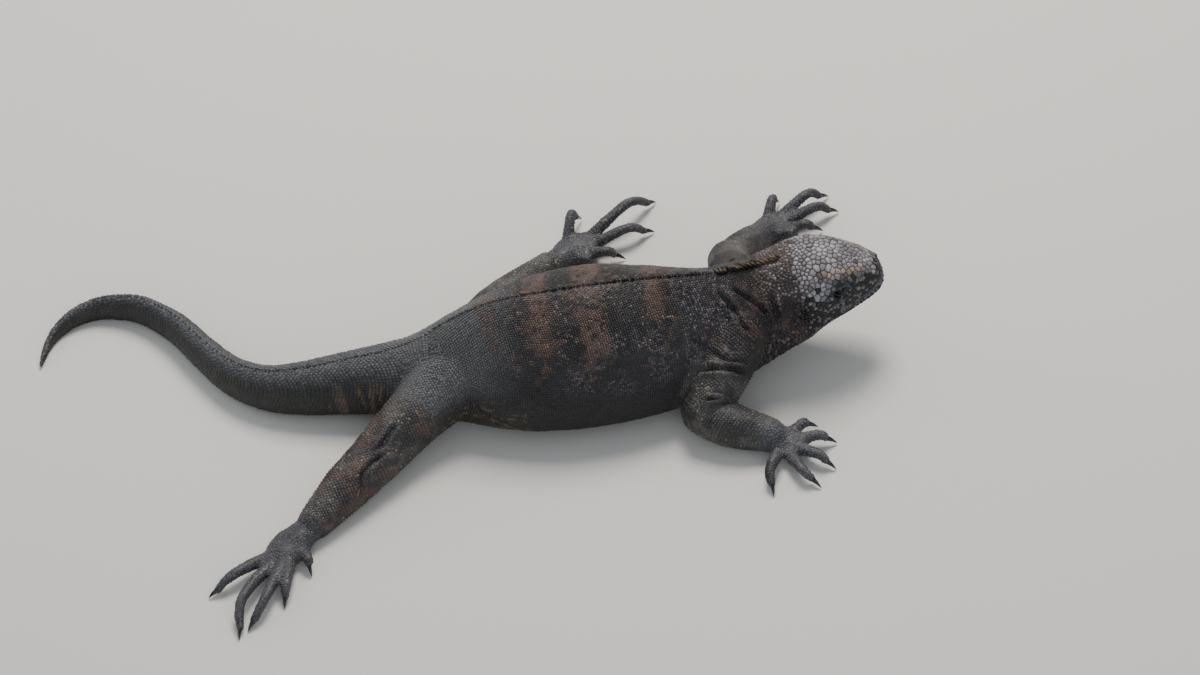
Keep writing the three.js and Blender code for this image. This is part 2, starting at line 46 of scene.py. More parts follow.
# Trunk from the nose to the tip of the tail, one column for each section, in mm.
# top and low are heights, half is the half width, belt the height of the widest level,
# roof and keel say how peaked or flat the upper and lower halves are.
trunk = {
    "x": [171.8, 169, 162.5, 154, 144, 132, 120, 107, 93, 77, 58, 30, 0, -30, -60, -85, -106, -128, -152,
          -176, -200, -221, -238, -255, -277, -300, -318, -331, -338, -341],
    "y": [7, 7, 7, 7, 6.5, 6, 5, 4, 2.5, 1, 0, 0, 0, 0, 0, 0.5, 2, 5, 7.5, 10, 16.5, 32, 55, 81, 102, 110,
          107, 97, 84, 71],
    "top": [52, 58, 63.5, 68.5, 73, 76, 75.5, 73, 71.5, 72, 74.5, 77, 78, 77.5, 75, 65, 51, 42, 37, 32.5,
            28, 25, 23, 21.5, 19.5, 16, 12.5, 9, 5.5, 2.8],
    "low": [44.5, 39.5, 35.5, 31.5, 27.5, 21.5, 15, 9, 4, 0, -1.5, -1.5, -1.5, -1.5, -1.5, -1.5, -1.5,
            -1.5, -1.5, -1.5, -1.5, -1.5, -1.5, -1.5, -1.2, -1.2, -1.2, -0.9, -0.6, 0.3],
    "half": [3.5, 9.5, 14, 17.5, 21, 24, 26, 27, 30.5, 36, 43, 49.5, 52.5, 51.5, 44.5, 33, 24.5, 20.5,
             17.5, 15, 12.5, 10.5, 9, 8, 6.8, 5.6, 4.4, 3.1, 2, 0.9],
    "belt": [48, 48, 48, 48, 47, 44, 40, 36, 33, 30, 26, 23, 22, 22, 22, 22, 20, 19, 17, 15, 13, 11, 10, 9,
             8.5, 7, 5.5, 4, 2.5, 1.5],
    "roof": [2.2, 2.3, 2.5, 2.6, 2.8, 2.8, 2.5, 2.1, 1.6, 1.35, 1.32, 1.5, 1.72, 1.68, 1.45, 1.45, 1.65,
             1.8, 1.9, 1.9, 1.8, 1.7, 1.7, 1.7, 1.7, 1.7, 1.8, 1.9, 2, 2],
    "keel": [2.2, 2.2, 2.2, 2.2, 2.2, 2.2, 2.2, 2.2, 2.3, 2.5, 2.7, 2.7, 2.7, 2.7, 2.6, 2.5, 2.4, 2.3, 2.3,
             2.3, 2.3, 2.3, 2.3, 2.3, 2.3, 2.3, 2.3, 2.3, 2.2, 2],
}
columnNames = list(trunk)
trunkTable = np.array([trunk[name] for name in columnNames], float).T
lastSection = len(trunkTable) - 1

# Limbs in mm: upper and lower length with radii, palm, and digits: the angles in degrees at which they
# leave the palm, bend at the knuckle and aim the claw, the claw's reach, and the knuckle's height.
limbs = {
    "arm_right": {
        "upper": ([(84, -16, 40), (71, -38, 30), (56, -56, 18)], [18, 15.5, 13.5]),
        "lower": ([(55, -56, 16), (70, -66, 13), (91, -74, 9)], [13, 13, 10]),
        "palm": {"at": (100, -78), "turn": -35, "size": (14, 10.5, 6)},
        "digits": [(55, 42, 30, 24, 8), (2, -2, -5, 30, 8), (-51, -42, -41, 35, 8),
                   (-100, -76, -66, 39, 8), (-132, -118, -108, 39, 8)],
        "nodes": ["upper_arm_right", "forearm_right", "hand_right"]},
    "arm_left": {
        "upper": ([(86, 16, 40), (85, 42, 30), (85, 62, 20)], [17, 14, 12.5]),
        "lower": ([(85, 62, 18), (95, 76, 14), (106, 90, 8)], [12, 11, 9]),
        "palm": {"at": (115, 99), "turn": 35, "size": (14, 10.5, 6)},
        "digits": [(-85, -41, -30, 22, 9), (-42, -14, -7, 32, 10), (15, 15, 14, 45, 11),
                   (55, 37, 33, 47, 12), (105, 79, 72, 28, 12)],
        "nodes": ["upper_arm_left", "forearm_left", "hand_left"]},
    "leg_right": {
        "upper": ([(-84, -8, 30), (-110, -28, 22), (-138, -54, 16)], [24, 18.5, 15.5]),
        "lower": ([(-138, -54, 15), (-157, -71, 12), (-178, -92, 8)], [15, 14, 10]),
        "palm": {"at": (-194, -106), "turn": -130, "size": (17, 12, 6.5)},
        "digits": [(-30, -48, -61, 24, 7), (-80, -95, -97, 42, 8), (-108, -111, -116, 61, 9),
                   (-142, -128, -118, 68, 9), (-162, -153, -152, 55, 8)],
        "nodes": ["thigh_right", "shin_right", "foot_right"]},
    "leg_left": {
        "upper": ([(-87, 5, 25), (-76, 34, 16), (-62, 57, 12)], [20, 14, 12.5]),
        "lower": ([(-62, 57, 12), (-46, 72, 10), (-25, 91, 7)], [12.5, 11.5, 9]),
        "palm": {"at": (-7, 104), "turn": 30, "size": (17, 12, 6.5)},
        "digits": [(-100, -62, -53, 20, 8), (-47, -23, -17, 32, 9), (0, 10, 12, 52, 12),
                   (40, 34, 34, 66, 15), (130, 88, 77, 32, 15)],
        "nodes": ["thigh_left", "shin_left", "foot_left"]},
}
digitRadii = [3.5, 2.7, 2.0]
clawLength = 8.0
digitNames = ["first", "second", "third", "fourth", "fifth"]


# Shape helpers

def unit(vectors):
    return vectors / np.maximum(np.linalg.norm(vectors, axis=-1, keepdims=True), 1e-9)


def unitOf(vector):
    return unit(np.asarray(vector, float)[None])[0]


def hermite(table, place):
    # smooth rows between the rows of a table; place counts rows
    index = np.clip(np.floor(place).astype(int), 0, len(table) - 2)
    part = (place - index)[:, None]
    before = table[np.maximum(index - 1, 0)]
    start, end = table[index], table[index + 1]
    after = table[np.minimum(index + 2, len(table) - 1)]
    square, cube = part ** 2, part ** 3
    return ((2 * cube - 3 * square + 1) * start + (cube - 2 * square + part) * (end - before) / 2
            + (3 * square - 2 * cube) * end + (cube - square) * (after - start) / 2)


def sectionAt(place):
    return dict(zip(columnNames, hermite(trunkTable, np.atleast_1d(place).astype(float)).T))


def trunkSurface(place, turn):
    # turn 0 is the animal's left, a quarter turn is the ridge of the back
    section = sectionAt(place)
    ahead = sectionAt(np.minimum(place + 0.05, lastSection))
    behind = sectionAt(np.maximum(place - 0.05, 0))
    heading = unit(np.stack([ahead["x"] - behind["x"], ahead["y"] - behind["y"]], 1))
    side, rise = np.cos(turn), np.sin(turn)
    bend = 2 / np.where(rise > 0, section["roof"], section["keel"])
    span = np.where(rise > 0, section["top"] - section["belt"], section["belt"] - section["low"])
    across = section["half"] * np.sign(side) * np.abs(side) ** bend
    return np.stack([section["x"] + heading[:, 1] * across,
                     section["y"] - heading[:, 0] * across,
                     section["belt"] + span * np.sign(rise) * np.abs(rise) ** bend], 1)


def halfWidthAt(place, height):
    section = sectionAt(place)
    above = height > section["belt"]
    exponent = np.where(above, section["roof"], section["keel"])
    span = np.where(above, section["top"] - section["belt"], section["belt"] - section["low"])
    ratio = np.minimum(np.abs(height - section["belt"]) / span, 1)
    return section["half"] * (1 - ratio ** exponent) ** (1 / exponent)


finePlaces = np.linspace(0, lastSection, 3001)
fineSections = sectionAt(finePlaces)
fineSteps = np.hypot(np.diff(fineSections["x"]), np.diff(fineSections["y"]))
fineArc = np.concatenate([[0], np.cumsum(fineSteps)])
lastBendX = -318  # mm; x falls steadily from the nose to here


def placeOfX(x):
    front = fineSections["x"] > lastBendX
    return np.interp(-np.asarray(x, float), -fineSections["x"][front], finePlaces[front])


def placeOfArc(arc):
    return np.interp(arc, fineArc, finePlaces)


def arcOfPlace(place):
    return np.interp(place, finePlaces, fineArc)


def tubeSurface(tube, share, turn):
    # a tube is its centres and radii; share runs 0 to 1 along it
    table = np.column_stack([np.array(tube[0], float), np.array(tube[1], float)])
    last = len(table) - 1
    place = np.atleast_1d(share) * last
    here = hermite(table, place)
    ahead = hermite(table, np.minimum(place + 0.02, last))[:, :3]
    along = unit(ahead - hermite(table, np.maximum(place - 0.02, 0))[:, :3])
    side = unit(np.cross([0, 0, 1.0], along))
    rise = np.cross(along, side)
    return here[:, :3] + here[:, 3:] * (np.cos(turn)[:, None] * side + np.sin(turn)[:, None] * rise), along


def circle(sides):
    return np.arange(sides) / sides * 2 * math.pi


def gridRings(surface, firsts, sides):
    # rings of points for a loft, from a surface function of (first, turn)
    return [surface(np.full(sides, first), circle(sides)) for first in firsts]


def loft(rings):
    # closed quads through rings, with a fan at each end
    sides = len(rings[0])
    points = np.concatenate(rings + [rings[0].mean(0)[None], rings[-1].mean(0)[None]])
    faces = []
    for row in range(len(rings) - 1):
        for side in range(sides):
            a, b = row * sides + side, row * sides + (side + 1) % sides
            faces.append((a, b, b + sides, a + sides))
    first, last, end = len(points) - 2, len(points) - 1, (len(rings) - 1) * sides
    for side in range(sides):
        nextSide = (side + 1) % sides
        faces.append((first, nextSide, side))
        faces.append((last, end + side, end + nextSide))
    return points, faces


def roundedTube(tube, rows, sides):
    # the tube with a rounded cap at each end
    body = gridRings(lambda share, turn: tubeSurface(tube, share, turn)[0], np.linspace(0, 1, rows), sides)
    for end, inner in ((0, 1), (-1, -2)):
        centre = body[end].mean(0)
        beyond = unitOf(centre - body[inner].mean(0)) * tube[1][end]
        caps = [centre + (body[end] - centre) * math.sqrt(1 - reach ** 2) + beyond * reach
                for reach in (0.35, 0.7, 0.93)]
        body = caps[::-1] + body if end == 0 else body + caps
    return loft(body)


def ellipsoid(centre, size, turnDegrees, rows=18, sides=28):
    angle = math.radians(turnDegrees)
    spin = np.array([[math.cos(angle), math.sin(angle), 0], [-math.sin(angle), math.cos(angle), 0],
                     [0, 0, 1]])
    rings = []
    for row in range(1, rows):
        lean = math.pi * row / rows
        turns = circle(sides)
        ring = np.stack([np.sin(lean) * np.cos(turns), np.sin(lean) * np.sin(turns),
                         np.full(sides, math.cos(lean))], 1) * size
        rings.append(ring @ spin + centre)
    return loft(rings)


def polar(centre, degrees, distance, height):
    angle = math.radians(degrees)
    return np.array([centre[0] + math.cos(angle) * distance, centre[1] + math.sin(angle) * distance, height])


def digitPath(limb, digit):
    # out of the palm, over the knuckle and down to where the claw starts, then the claw's tip
    root, bend, aim, reach, lift = digit
    palm = limb["palm"]
    start = polar(palm["at"], root, palm["size"][1] * 0.55, 5)
    knuckle = polar(palm["at"], bend, reach * 0.66, lift)
    tip = polar(palm["at"], aim, reach, 0.6)
    stop = tip + (knuckle - tip) * min(clawLength / reach * 2.4, 0.75)
    return start, knuckle, stop, tip


# Mesh helpers

def meshObject(name, points, faces, smooth=False):
    # points in mm in the animal's frame
    mesh = bpy.data.meshes.new(name)
    corners = np.concatenate(faces)
    counts = np.array([len(face) for face in faces])
    mesh.vertices.add(len(points))
    mesh.vertices.foreach_set("co", ((points + bodyShift) * mm).astype(np.float32).ravel())
    mesh.loops.add(len(corners))
    mesh.loops.foreach_set("vertex_index", corners.astype(np.int32))
    mesh.polygons.add(len(counts))
    mesh.polygons.foreach_set("loop_start", np.concatenate([[0], np.cumsum(counts)[:-1]]).astype(np.int32))
    mesh.update(calc_edges=True)
    mesh.validate()
    thing = bpy.data.objects.new(name, mesh)
    bpy.context.scene.collection.objects.link(thing)
    if smooth:
        smoothFaces(thing)
    return thing


def smoothFaces(thing):
    thing.data.polygons.foreach_set("use_smooth", np.ones(len(thing.data.polygons), bool))


def meshArrays(mesh):
    points = np.empty(len(mesh.vertices) * 3, np.float32)
    normals = np.empty(len(mesh.vertices) * 3, np.float32)
    mesh.vertices.foreach_get("co", points)
    mesh.vertices.foreach_get("normal", normals)
    return points.reshape(-1, 3).astype(float) / mm - bodyShift, normals.reshape(-1, 3).astype(float)


def withModifiers(thing, settings):
    # add modifiers, then keep only their result
    for kind, values in settings:
        modifier = thing.modifiers.new(kind.title(), kind)
        for key, value in values.items():
            setattr(modifier, key, value)
    graph = bpy.context.evaluated_depsgraph_get()
    mesh = bpy.data.meshes.new_from_object(thing.evaluated_get(graph))
    thing.modifiers.clear()
    thing.data = mesh


def bakeMap(thing, places, corners):
    # the OFBake map: a place on the unwrap for each point, given to the faces' corners
    layer = thing.data.uv_layers.new(name="OFBake")
    layer.data.foreach_set("uv", places[corners].astype(np.float32).ravel())


def treeOf(points):
    tree = KDTree(len(points))
    for index, point in enumerate(points):
        tree.insert(point, index)
    tree.balance()
    return tree


# Seeded noise for markings and for small differences between scales

latticeSize = 32
lattices = {}


def noise(points, size, seed):
    if seed not in lattices:
        lattices[seed] = np.random.default_rng(seed).random((latticeSize,) * 3)
    lattice = lattices[seed]
    cell = points / size
    base = np.floor(cell).astype(int)
    part = cell - base
    part = part * part * (3 - 2 * part)
    total = np.zeros(len(points))
    for corner in np.ndindex(2, 2, 2):
        index = (base + corner) % latticeSize
        weight = np.prod(np.where(np.array(corner) == 1, part, 1 - part), 1)
        total += weight * lattice[index[:, 0], index[:, 1], index[:, 2]]
    return total


def fractal(points, size, seed):
    return (noise(points, size, seed) * 0.55 + noise(points, size / 2.1, seed + 1) * 0.3
            + noise(points, size / 4.3, seed + 2) * 0.15)


def ramp(value, start, end):
    # 0 at start, 1 at end, eased at both
    share = np.clip((value - start) / (end - start), 0, 1)
    return share * share * (3 - 2 * share)


# Skin: one surface over the trunk and limbs, then folds, sockets and the mouth

skin = {
    "voxel": 1.25,          # mm
    "smoothing": 6,
    "digitGrowth": 0.35,    # mm added to the digits, which smoothing thins again
    "lowest": 0.3,          # mm of room under the skin for belly scales
    "headFineFrom": 126.0,  # x in mm ahead of which the mesh is twice as fine
}
headMiddle = 6.0     # y in mm of the head's midline
headHalfSpan = 36.0  # mm to each side of it that belong to the head, clear of the hands


def digitTube(limb, digit, growth):
    return digitPath(limb, digit)[:3], [radius + growth for radius in digitRadii]


def skinShells():
    shells = [loft(gridRings(trunkSurface, np.linspace(0, lastSection, 230), 72))]
    for limb in limbs.values():
        palm, lower = limb["palm"], limb["lower"]
        shells += [roundedTube(tube, 26, 36) for tube in (limb["upper"], lower)]
        shells.append(ellipsoid(np.array([*palm["at"], 5.2]), palm["size"], palm["turn"]))
        wrist = np.array(lower[0][-1], float)
        middle = (wrist + np.array([*palm["at"], 6.0])) / 2
        reach = np.linalg.norm(wrist[:2] - palm["at"])
        heading = math.degrees(math.atan2(palm["at"][1] - wrist[1], palm["at"][0] - wrist[0]))
        shells.append(ellipsoid(middle, (reach * 0.8, lower[1][-1] * 0.92, 6.5), heading))
        for digit in limb["digits"]:
            shells.append(roundedTube(digitTube(limb, digit, skin["digitGrowth"]), 24, 18))
    return shells


def joinShells(shells):
    points, faces, offset = [], [], 0
    for shellPoints, shellFaces in shells:
        points.append(shellPoints)
        faces += [tuple(index + offset for index in face) for face in shellFaces]
        offset += len(shellPoints)
    return np.concatenate(points), faces


print("building the skin")
skinObject = meshObject("skin", *joinShells(skinShells()))
withModifiers(skinObject, [
    ("REMESH", {"mode": "VOXEL", "voxel_size": skin["voxel"] * mm, "use_smooth_shade": True}),
    ("SMOOTH", {"factor": 0.5, "iterations": skin["smoothing"]}),
])


def refineHead(thing):
    edit = bmesh.new()
    edit.from_mesh(thing.data)
    limit = (skin["headFineFrom"] + bodyShift[0]) * mm
    middle = (bodyShift[1] + headMiddle) * mm
    edges = [edge for edge in edit.edges if min(v.co.x for v in edge.verts) > limit
             and max(abs(v.co.y - middle) for v in edge.verts) < headHalfSpan * mm]
    bmesh.ops.subdivide_edges(edit, edges=edges, cuts=1, use_grid_fill=True, smooth=0.6)
    edit.to_mesh(thing.data)
    edit.free()


refineHead(skinObject)

# Head features in mm, in the animal's frame
eye = {"x": 145.0, "z": 57.6, "radius": 4.6, "inset": 3.3, "outTilt": (0.16, 0.12), "slope": 0.28}
socket = {"long": 5.4, "tall": 3.9, "depth": 4.2, "brow": 1.0}
mouth = {"from": 139.0, "to": 170.0, "back": 37.0, "front": 46.5, "sag": 1.2, "depth": 1.3, "width": 0.55,
         "lip": 0.55, "lipOffset": 1.7, "lipWidth": 0.9}
nostril = {"x": 167.3, "side": 6.0, "z": 57.5, "depth": 1.8, "radius": 1.35, "rim": 0.5, "rimRadius": 2.4,
           "rimWidth": 0.8}
ear = {"x": 120.5, "z": 49.5, "long": 3.6, "tall": 4.6, "depth": 1.8, "from": 112}


def mouthHeight(x):
    share = np.clip((x - mouth["from"]) / (mouth["to"] - mouth["from"]), -0.2, 1.1)
    return mouth["back"] + (mouth["front"] - mouth["back"]) * share \
        - mouth["sag"] * np.sin(np.clip(share, 0, 1) * math.pi)


def sidePoint(x, z, side):
    # a point on the head's or neck's side; side is 1 on the left and -1 on the right
    place = placeOfX([x])
    return np.array([x, sectionAt(place)["y"][0] + side * halfWidthAt(place, np.array([z]))[0], z])


def eyeAxes(side):
    out = unitOf([eye["outTilt"][0], side, eye["outTilt"][1]])
    long = unitOf([math.cos(eye["slope"]), 0, math.sin(eye["slope"])])
    long = unitOf(long - out * (long @ out))
    up = np.cross(out, long) * side
    return out, long, up * np.sign(up[2])


def eyeOffsets(points, side):
    # how far points lie outwards, along and above the middle of the eye's opening
    offset = points - sidePoint(eye["x"], eye["z"], side)
    return [offset @ axis for axis in eyeAxes(side)]


def nostrilGap(points, side):
    hole = np.array([nostril["x"], 7 + side * nostril["side"], nostril["z"]])
    return np.linalg.norm(points - hole, axis=1)


def earReach(points, drum):
    return np.hypot((points[:, 0] - drum[0]) / ear["long"], (points[:, 2] - drum[2]) / ear["tall"])


def shapeHead(points, normals):
    moved = np.zeros(len(points))
    front = points[:, 0] > ear["from"]
    dz = points[:, 2] - mouthHeight(points[:, 0])
    along = ramp(points[:, 0], mouth["from"] - 1, mouth["from"] + 3) * front
    moved -= mouth["depth"] * np.exp(-(dz / mouth["width"]) ** 2) * along
    for sign in (-1, 1):
        moved += mouth["lip"] * np.exp(-((dz - sign * mouth["lipOffset"]) / mouth["lipWidth"]) ** 2) * along
    for side in (-1, 1):
        out, long, up = eyeOffsets(points, side)
        flat = np.hypot(long / socket["long"], up / socket["tall"])
        near = np.abs(out) < 7
        moved -= socket["depth"] * (1 - ramp(flat, 0.75, 1.05)) * near
        moved += socket["brow"] * np.exp(-((flat - 1.45) / 0.3) ** 2) * near
        gap = nostrilGap(points, side)
        moved -= nostril["depth"] * np.exp(-(gap / nostril["radius"]) ** 2)
        moved += nostril["rim"] * np.exp(-((gap - nostril["rimRadius"]) / nostril["rimWidth"]) ** 2)
        apart = earReach(points, sidePoint(ear["x"], ear["z"], side))
        beside = np.sign(points[:, 1] - headMiddle) == side
        moved -= ear["depth"] * (1 - ramp(apart, 0.6, 1.1)) * beside * front
    return points + normals * moved[:, None]


# Folds of loose skin in mm: how deep each cuts, how wide it is, whether the other side of the animal
# has it too, and the line along it.
# the deeper a fold cuts, the darker its painted shade
folds = [
    {"depth": 2.4, "width": 1.5, "both": False,
     "line": [(56, -43, 37), (61, -45, 41), (68, -48, 43), (76, -48, 40), (84, -46, 33)]},
    {"depth": 2.2, "width": 1.0, "both": False,
     "line": [(56, -60, 31), (61, -60, 31), (66, -59, 29), (71, -57, 24)]},
    {"depth": 1.5, "width": 1.3, "both": False,
     "line": [(-130, -61, 27), (-140, -67, 25), (-147, -74, 23), (-151, -84, 13)]},
    {"depth": 1.4, "width": 1.4, "both": False,
     "line": [(-124, -47, 34), (-131, -56, 31), (-137, -62, 28)]},
    {"depth": 1.7, "width": 1.3, "both": True,
     "line": [(81, -7, 67), (88, -12, 63), (96, -17, 58), (102, -20, 50)]},
    {"depth": 1.9, "width": 1.5, "both": True,
     "line": [(72, -8, 67), (79, -15, 60), (84, -26, 56), (89, -30, 46)]},
    {"depth": 1.5, "width": 1.5, "both": True,
     "line": [(102, -12, 64), (105, -19, 56), (106, -25, 44), (104, -27, 32)]},
    {"depth": 1.2, "width": 2.0, "both": True,
     "line": [(53, -28, 53), (61, -34, 47), (74, -45, 44), (90, -36, 34)]},
    {"depth": 1.5, "width": 2.0, "both": True,
     "line": [(98, -29, 40), (96, -31, 28), (96, -28, 14)]},
    {"depth": 1.6, "width": 1.6, "both": True,
     "line": [(-80, -36, 30), (-68, -43, 20), (-52, -49, 13), (-34, -51, 10)]},
    {"depth": 1.2, "width": 1.4, "both": True,
     "line": [(-86, -34, 36), (-74, -41, 27), (-58, -48, 19)]},
    {"depth": 0.7, "width": 0.9, "both": True,
     "line": [(-6, -49, 39), (14, -49, 38), (34, -47, 37), (52, -42, 38)]},
    {"depth": 1.4, "width": 1.8, "both": True,
     "line": [(30, -52, 16), (44, -50, 13), (56, -46, 8)]},
]


def foldLines():
    # every fold as a smooth line of points, with its depth and width
    for fold in folds:
        line = np.array(fold["line"], float)
        line = hermite(line, np.linspace(0, len(line) - 1, 14 * len(line)))
        for side in (1, -1) if fold["both"] else (1,):
            yield line * [1, side, 1], fold["depth"], fold["width"]


def nearFold(points, line, room):
    # indexes of the points near a fold's line, their distance from it, and the fold's strength there
    middle = (line.max(0) + line.min(0)) / 2
    near = np.where(np.all(np.abs(points - middle) < np.ptp(line, axis=0) / 2 + room, axis=1))[0]
    apart = np.linalg.norm(points[near, None] - line[None], axis=2)
    place = apart.argmin(1) / (len(line) - 1)
    return near, apart.min(1), ramp(place, 0, 0.2) * ramp(place, 1, 0.8)


def paintedFoldShade(points):
    # painted shade: 1 on open hide, less down in the folds and round the ear drums, where shade falls
    shade = np.ones(len(points))
    for side in (-1, 1):
        drum = sidePoint(ear["x"], ear["z"], side)
        shade -= 0.6 * ramp(earReach(points, drum), 1.9, 0.7) * (np.abs(points[:, 1] - drum[1]) < 9)
    for line, depth, width in foldLines():
        near, gap, strength = nearFold(points, line, 5)
        shade[near] *= 1 - np.clip(depth * 0.36, 0, 0.75) * np.exp(-(gap / width) ** 2) * strength
    return shade


def pressFold(points, normals, line, depth, width):
    # a groove along the line with a low bank to each side
    near, gap, strength = nearFold(points, line, 9)
    cut = -depth * np.exp(-(gap / width) ** 2) + depth * 0.45 * np.exp(-((gap - width * 2.1) / width) ** 2)
    points[near] += normals[near] * (cut * strength)[:, None]


def shapeSkin(thing):
    mesh = thing.data
    points, normals = meshArrays(mesh)
    points = shapeHead(points, normals)
    for line, depth, width in foldLines():
        pressFold(points, normals, line, depth * 1.25, width)
    roughness = (fractal(points, 9, 11) - 0.5) * 0.8 + (fractal(points * [1, 1, 1.6], 3.2, 21) - 0.5) * 0.35
    points += normals * (roughness * ramp(points[:, 0], 140, 110) * ramp(points[:, 2], 1, 6))[:, None]
    points[:, 2] = np.maximum(points[:, 2], skin["lowest"])
    mesh.vertices.foreach_set("co", ((points + bodyShift) * mm).astype(np.float32).ravel())
    mesh.update()
    smoothFaces(thing)


shapeSkin(skinObject)
skinPoints, skinNormals = meshArrays(skinObject.data)
skinTree = BVHTree.FromPolygons([tuple(point) for point in skinPoints],
                                [tuple(polygon.vertices) for polygon in skinObject.data.polygons])
skinObject.data.calc_loop_triangles()
skinCorners = np.array([tuple(triangle.vertices) for triangle in skinObject.data.loop_triangles])
print("skin has", len(skinPoints), "points")


def snap(points):
    # nearest places on the skin, with the normals there
    found = [skinTree.find_nearest(tuple(point))[:2] for point in points]
    return [np.array([tuple(pair[part]) for pair in found]) for part in (0, 1)]


def scatter(random, corners, tries):
    # random places spread evenly over the skin's triangles, with their normals
    places = skinPoints[corners]
    areas = np.linalg.norm(np.cross(places[:, 1] - places[:, 0], places[:, 2] - places[:, 0]), axis=1)
    corners = corners[random.choice(len(corners), tries, p=areas / areas.sum())]
    weights = random.dirichlet((1, 1, 1), tries)[..., None]
    return np.sum(skinPoints[corners] * weights, 1), unit(np.sum(skinNormals[corners] * weights, 1))


# Colours: sRGB hex to linear, and the markings that skin and scales share

def tint(code):
    values = np.array([int(code[index:index + 2], 16) for index in (1, 3, 5)]) / 255
    return np.where(values <= 0.04045, values / 12.92, ((values + 0.055) / 1.055) ** 2.4)


hideColours = {
    "back": "#2b292b", "between": "#161517", "band": "#57433b", "fleck": "#745f4e", "flank": "#242124",
    "rear": "#585859", "low": "#33302a", "tail": "#2f2e2c", "tailPaintedTopLight": "#4a4b4e", "limb": "#3a3837",
    "limbLight": "#5a5753", "limbFleck": "#827763", "hand": "#55555b", "crown": "#8f8a8d",
    "crownDark": "#4e494a", "brow": "#a08567", "cheek": "#1b191b", "cheekBead": "#8b8a90", "lip": "#5a626c",
    "neck": "#262123", "rust": "#55403a", "nape": "#4a403d", "throat": "#1f1d20", "throatEdge": "#67605b",
    "saltAndHighlight": "#87818b",
}
hide = {name: tint(code) for name, code in hideColours.items()}
# bands: x on the ridge, half width, and how far down each one reaches, 0 on the ridge and 1 at the belt
bandPlaces = [(-65, 6, 0.24), (-32, 8, 0.3), (-2, 9, 0.44), (36, 7, 0.28)]


def mix(base, other, share):
    return base + (other - base) * np.clip(share, 0, 1)[:, None]


def plain(colour, points):
    return np.repeat(colour[None], len(points), 0)


def layered(colour, layers):
    # lay each named colour over the ones before by its share
    for name, share in layers:
        colour = mix(colour, hide[name], share)
    return colour


def limbLine(points, tube):
    # share along a limb's straight middle line, and distance from it in radii
    centres, radii = tube
    start, end = np.array(centres[0], float), np.array(centres[-1], float)
    share = np.clip((points - start) @ (end - start) / np.sum((end - start) ** 2), 0, 1)
    gap = np.linalg.norm(points - start - share[:, None] * (end - start), axis=1)
    return share, gap / np.interp(share, [0, 0.5, 1], radii)


def limbShare(points):
    # 0 on the trunk and the limb's root, 1 from the middle of the upper limb on
    total = np.zeros(len(points))
    for limb in limbs.values():
        share, gap = limbLine(points, limb["upper"])
        total = np.maximum(total, ramp(share, 0.42, 0.62) * ramp(gap, 1.45, 1.2))
        share, gap = limbLine(points, limb["lower"])
        total = np.maximum(total, ramp(gap, 1.5, 1.25))
        total = np.maximum(total, handShare(points, limb))
    return total


def handShare(points, limb):
    palm = np.array([*limb["palm"]["at"], 5.0])
    gap = np.linalg.norm(points - palm, axis=1)
    beyond = (points - palm) @ unitOf(palm - np.array(limb["lower"][0][-2], float))
    return np.maximum(ramp(gap, 26, 14), ramp(beyond, -6, 4) * (gap < 78))


def trunkColour(points, dice, below):
    x = points[:, 0]
    wander = (fractal(points, 9, 31) - 0.5) * 14
    ragged = below + (fractal(points, 6, 47) - 0.5) * 0.5
    band = np.zeros(len(points))
    for centre, width, reach in bandPlaces:
        stripe = 1 - ramp(np.abs(x + wander * 0.8 - centre) / width, 0.5, 1.15)
        band = np.maximum(band, stripe * ramp(ragged, reach + 0.14, reach - 0.1))
    band *= ramp(fractal(points, 3.6, 51) + dice * 0.1, 0.38, 0.54)
    speckle = ramp(noise(points, 2.3, 61), 0.6, 0.68) * ramp(fractal(points, 19, 64), 0.4, 0.55) \
        * ramp(below, 0.85, 0.5) * ramp(x, -105, -80)
    hip = ramp(x, -30, -60) * ramp(below, 0.7, 1.0)
    dashes = ramp(noise(points * [0.35, 1, 1], 1.7, 66), 0.66, 0.76) * hip * ramp(x, -110, -96)
    flankSalt = ramp(fractal(points, 11, 81), 0.45, 0.6) * ramp(np.abs(x - 26), 62, 34) \
        * ramp(np.abs(below - 0.5), 0.4, 0.16)
    # on the shoulder the pale salt spots also stand in for painted highlight
    shoulderSaltAndHighlight = ramp(fractal(points, 9, 86), 0.42, 0.56) * ramp(np.abs(x - 66), 26, 12) \
        * ramp(below, 0.75, 0.4)
    return layered(plain(hide["back"], points), [
        ("between", ramp(fractal(points, 15, 41), 0.47, 0.6) * ramp(below, 0.8, 0.3) * ramp(x, -40, -10)),
        # painted shade: the lower flank, down towards the belt, is darker
        ("flank", ramp(below + (noise(points, 9, 44) - 0.5) * 0.35, 0.45, 0.9)),
        ("band", np.maximum(band, speckle * 0.75) * ramp(x, 90, 70)),
        ("fleck", (dice > 0.94) * ramp(fractal(points, 8, 57), 0.42, 0.56) * ramp(below, 0.6, 0.25)
         * ramp(x, -110, -70) * 0.8),
        ("rear", ramp(x + wander, -40, -78) * ramp(below, 0.95, 0.55) * (1 - band * 0.7)),
        ("low", hip),
        ("fleck", dashes * 0.7),
        # pale salt crust, with painted highlight among it on the shoulder
        ("saltAndHighlight", np.maximum(flankSalt * 0.3, shoulderSaltAndHighlight * 0.4) * ramp(dice, 0.25, 1.0)
         * (0.5 + noise(points, 1.1, 84)) * (1 - band * 0.6)),
    ])


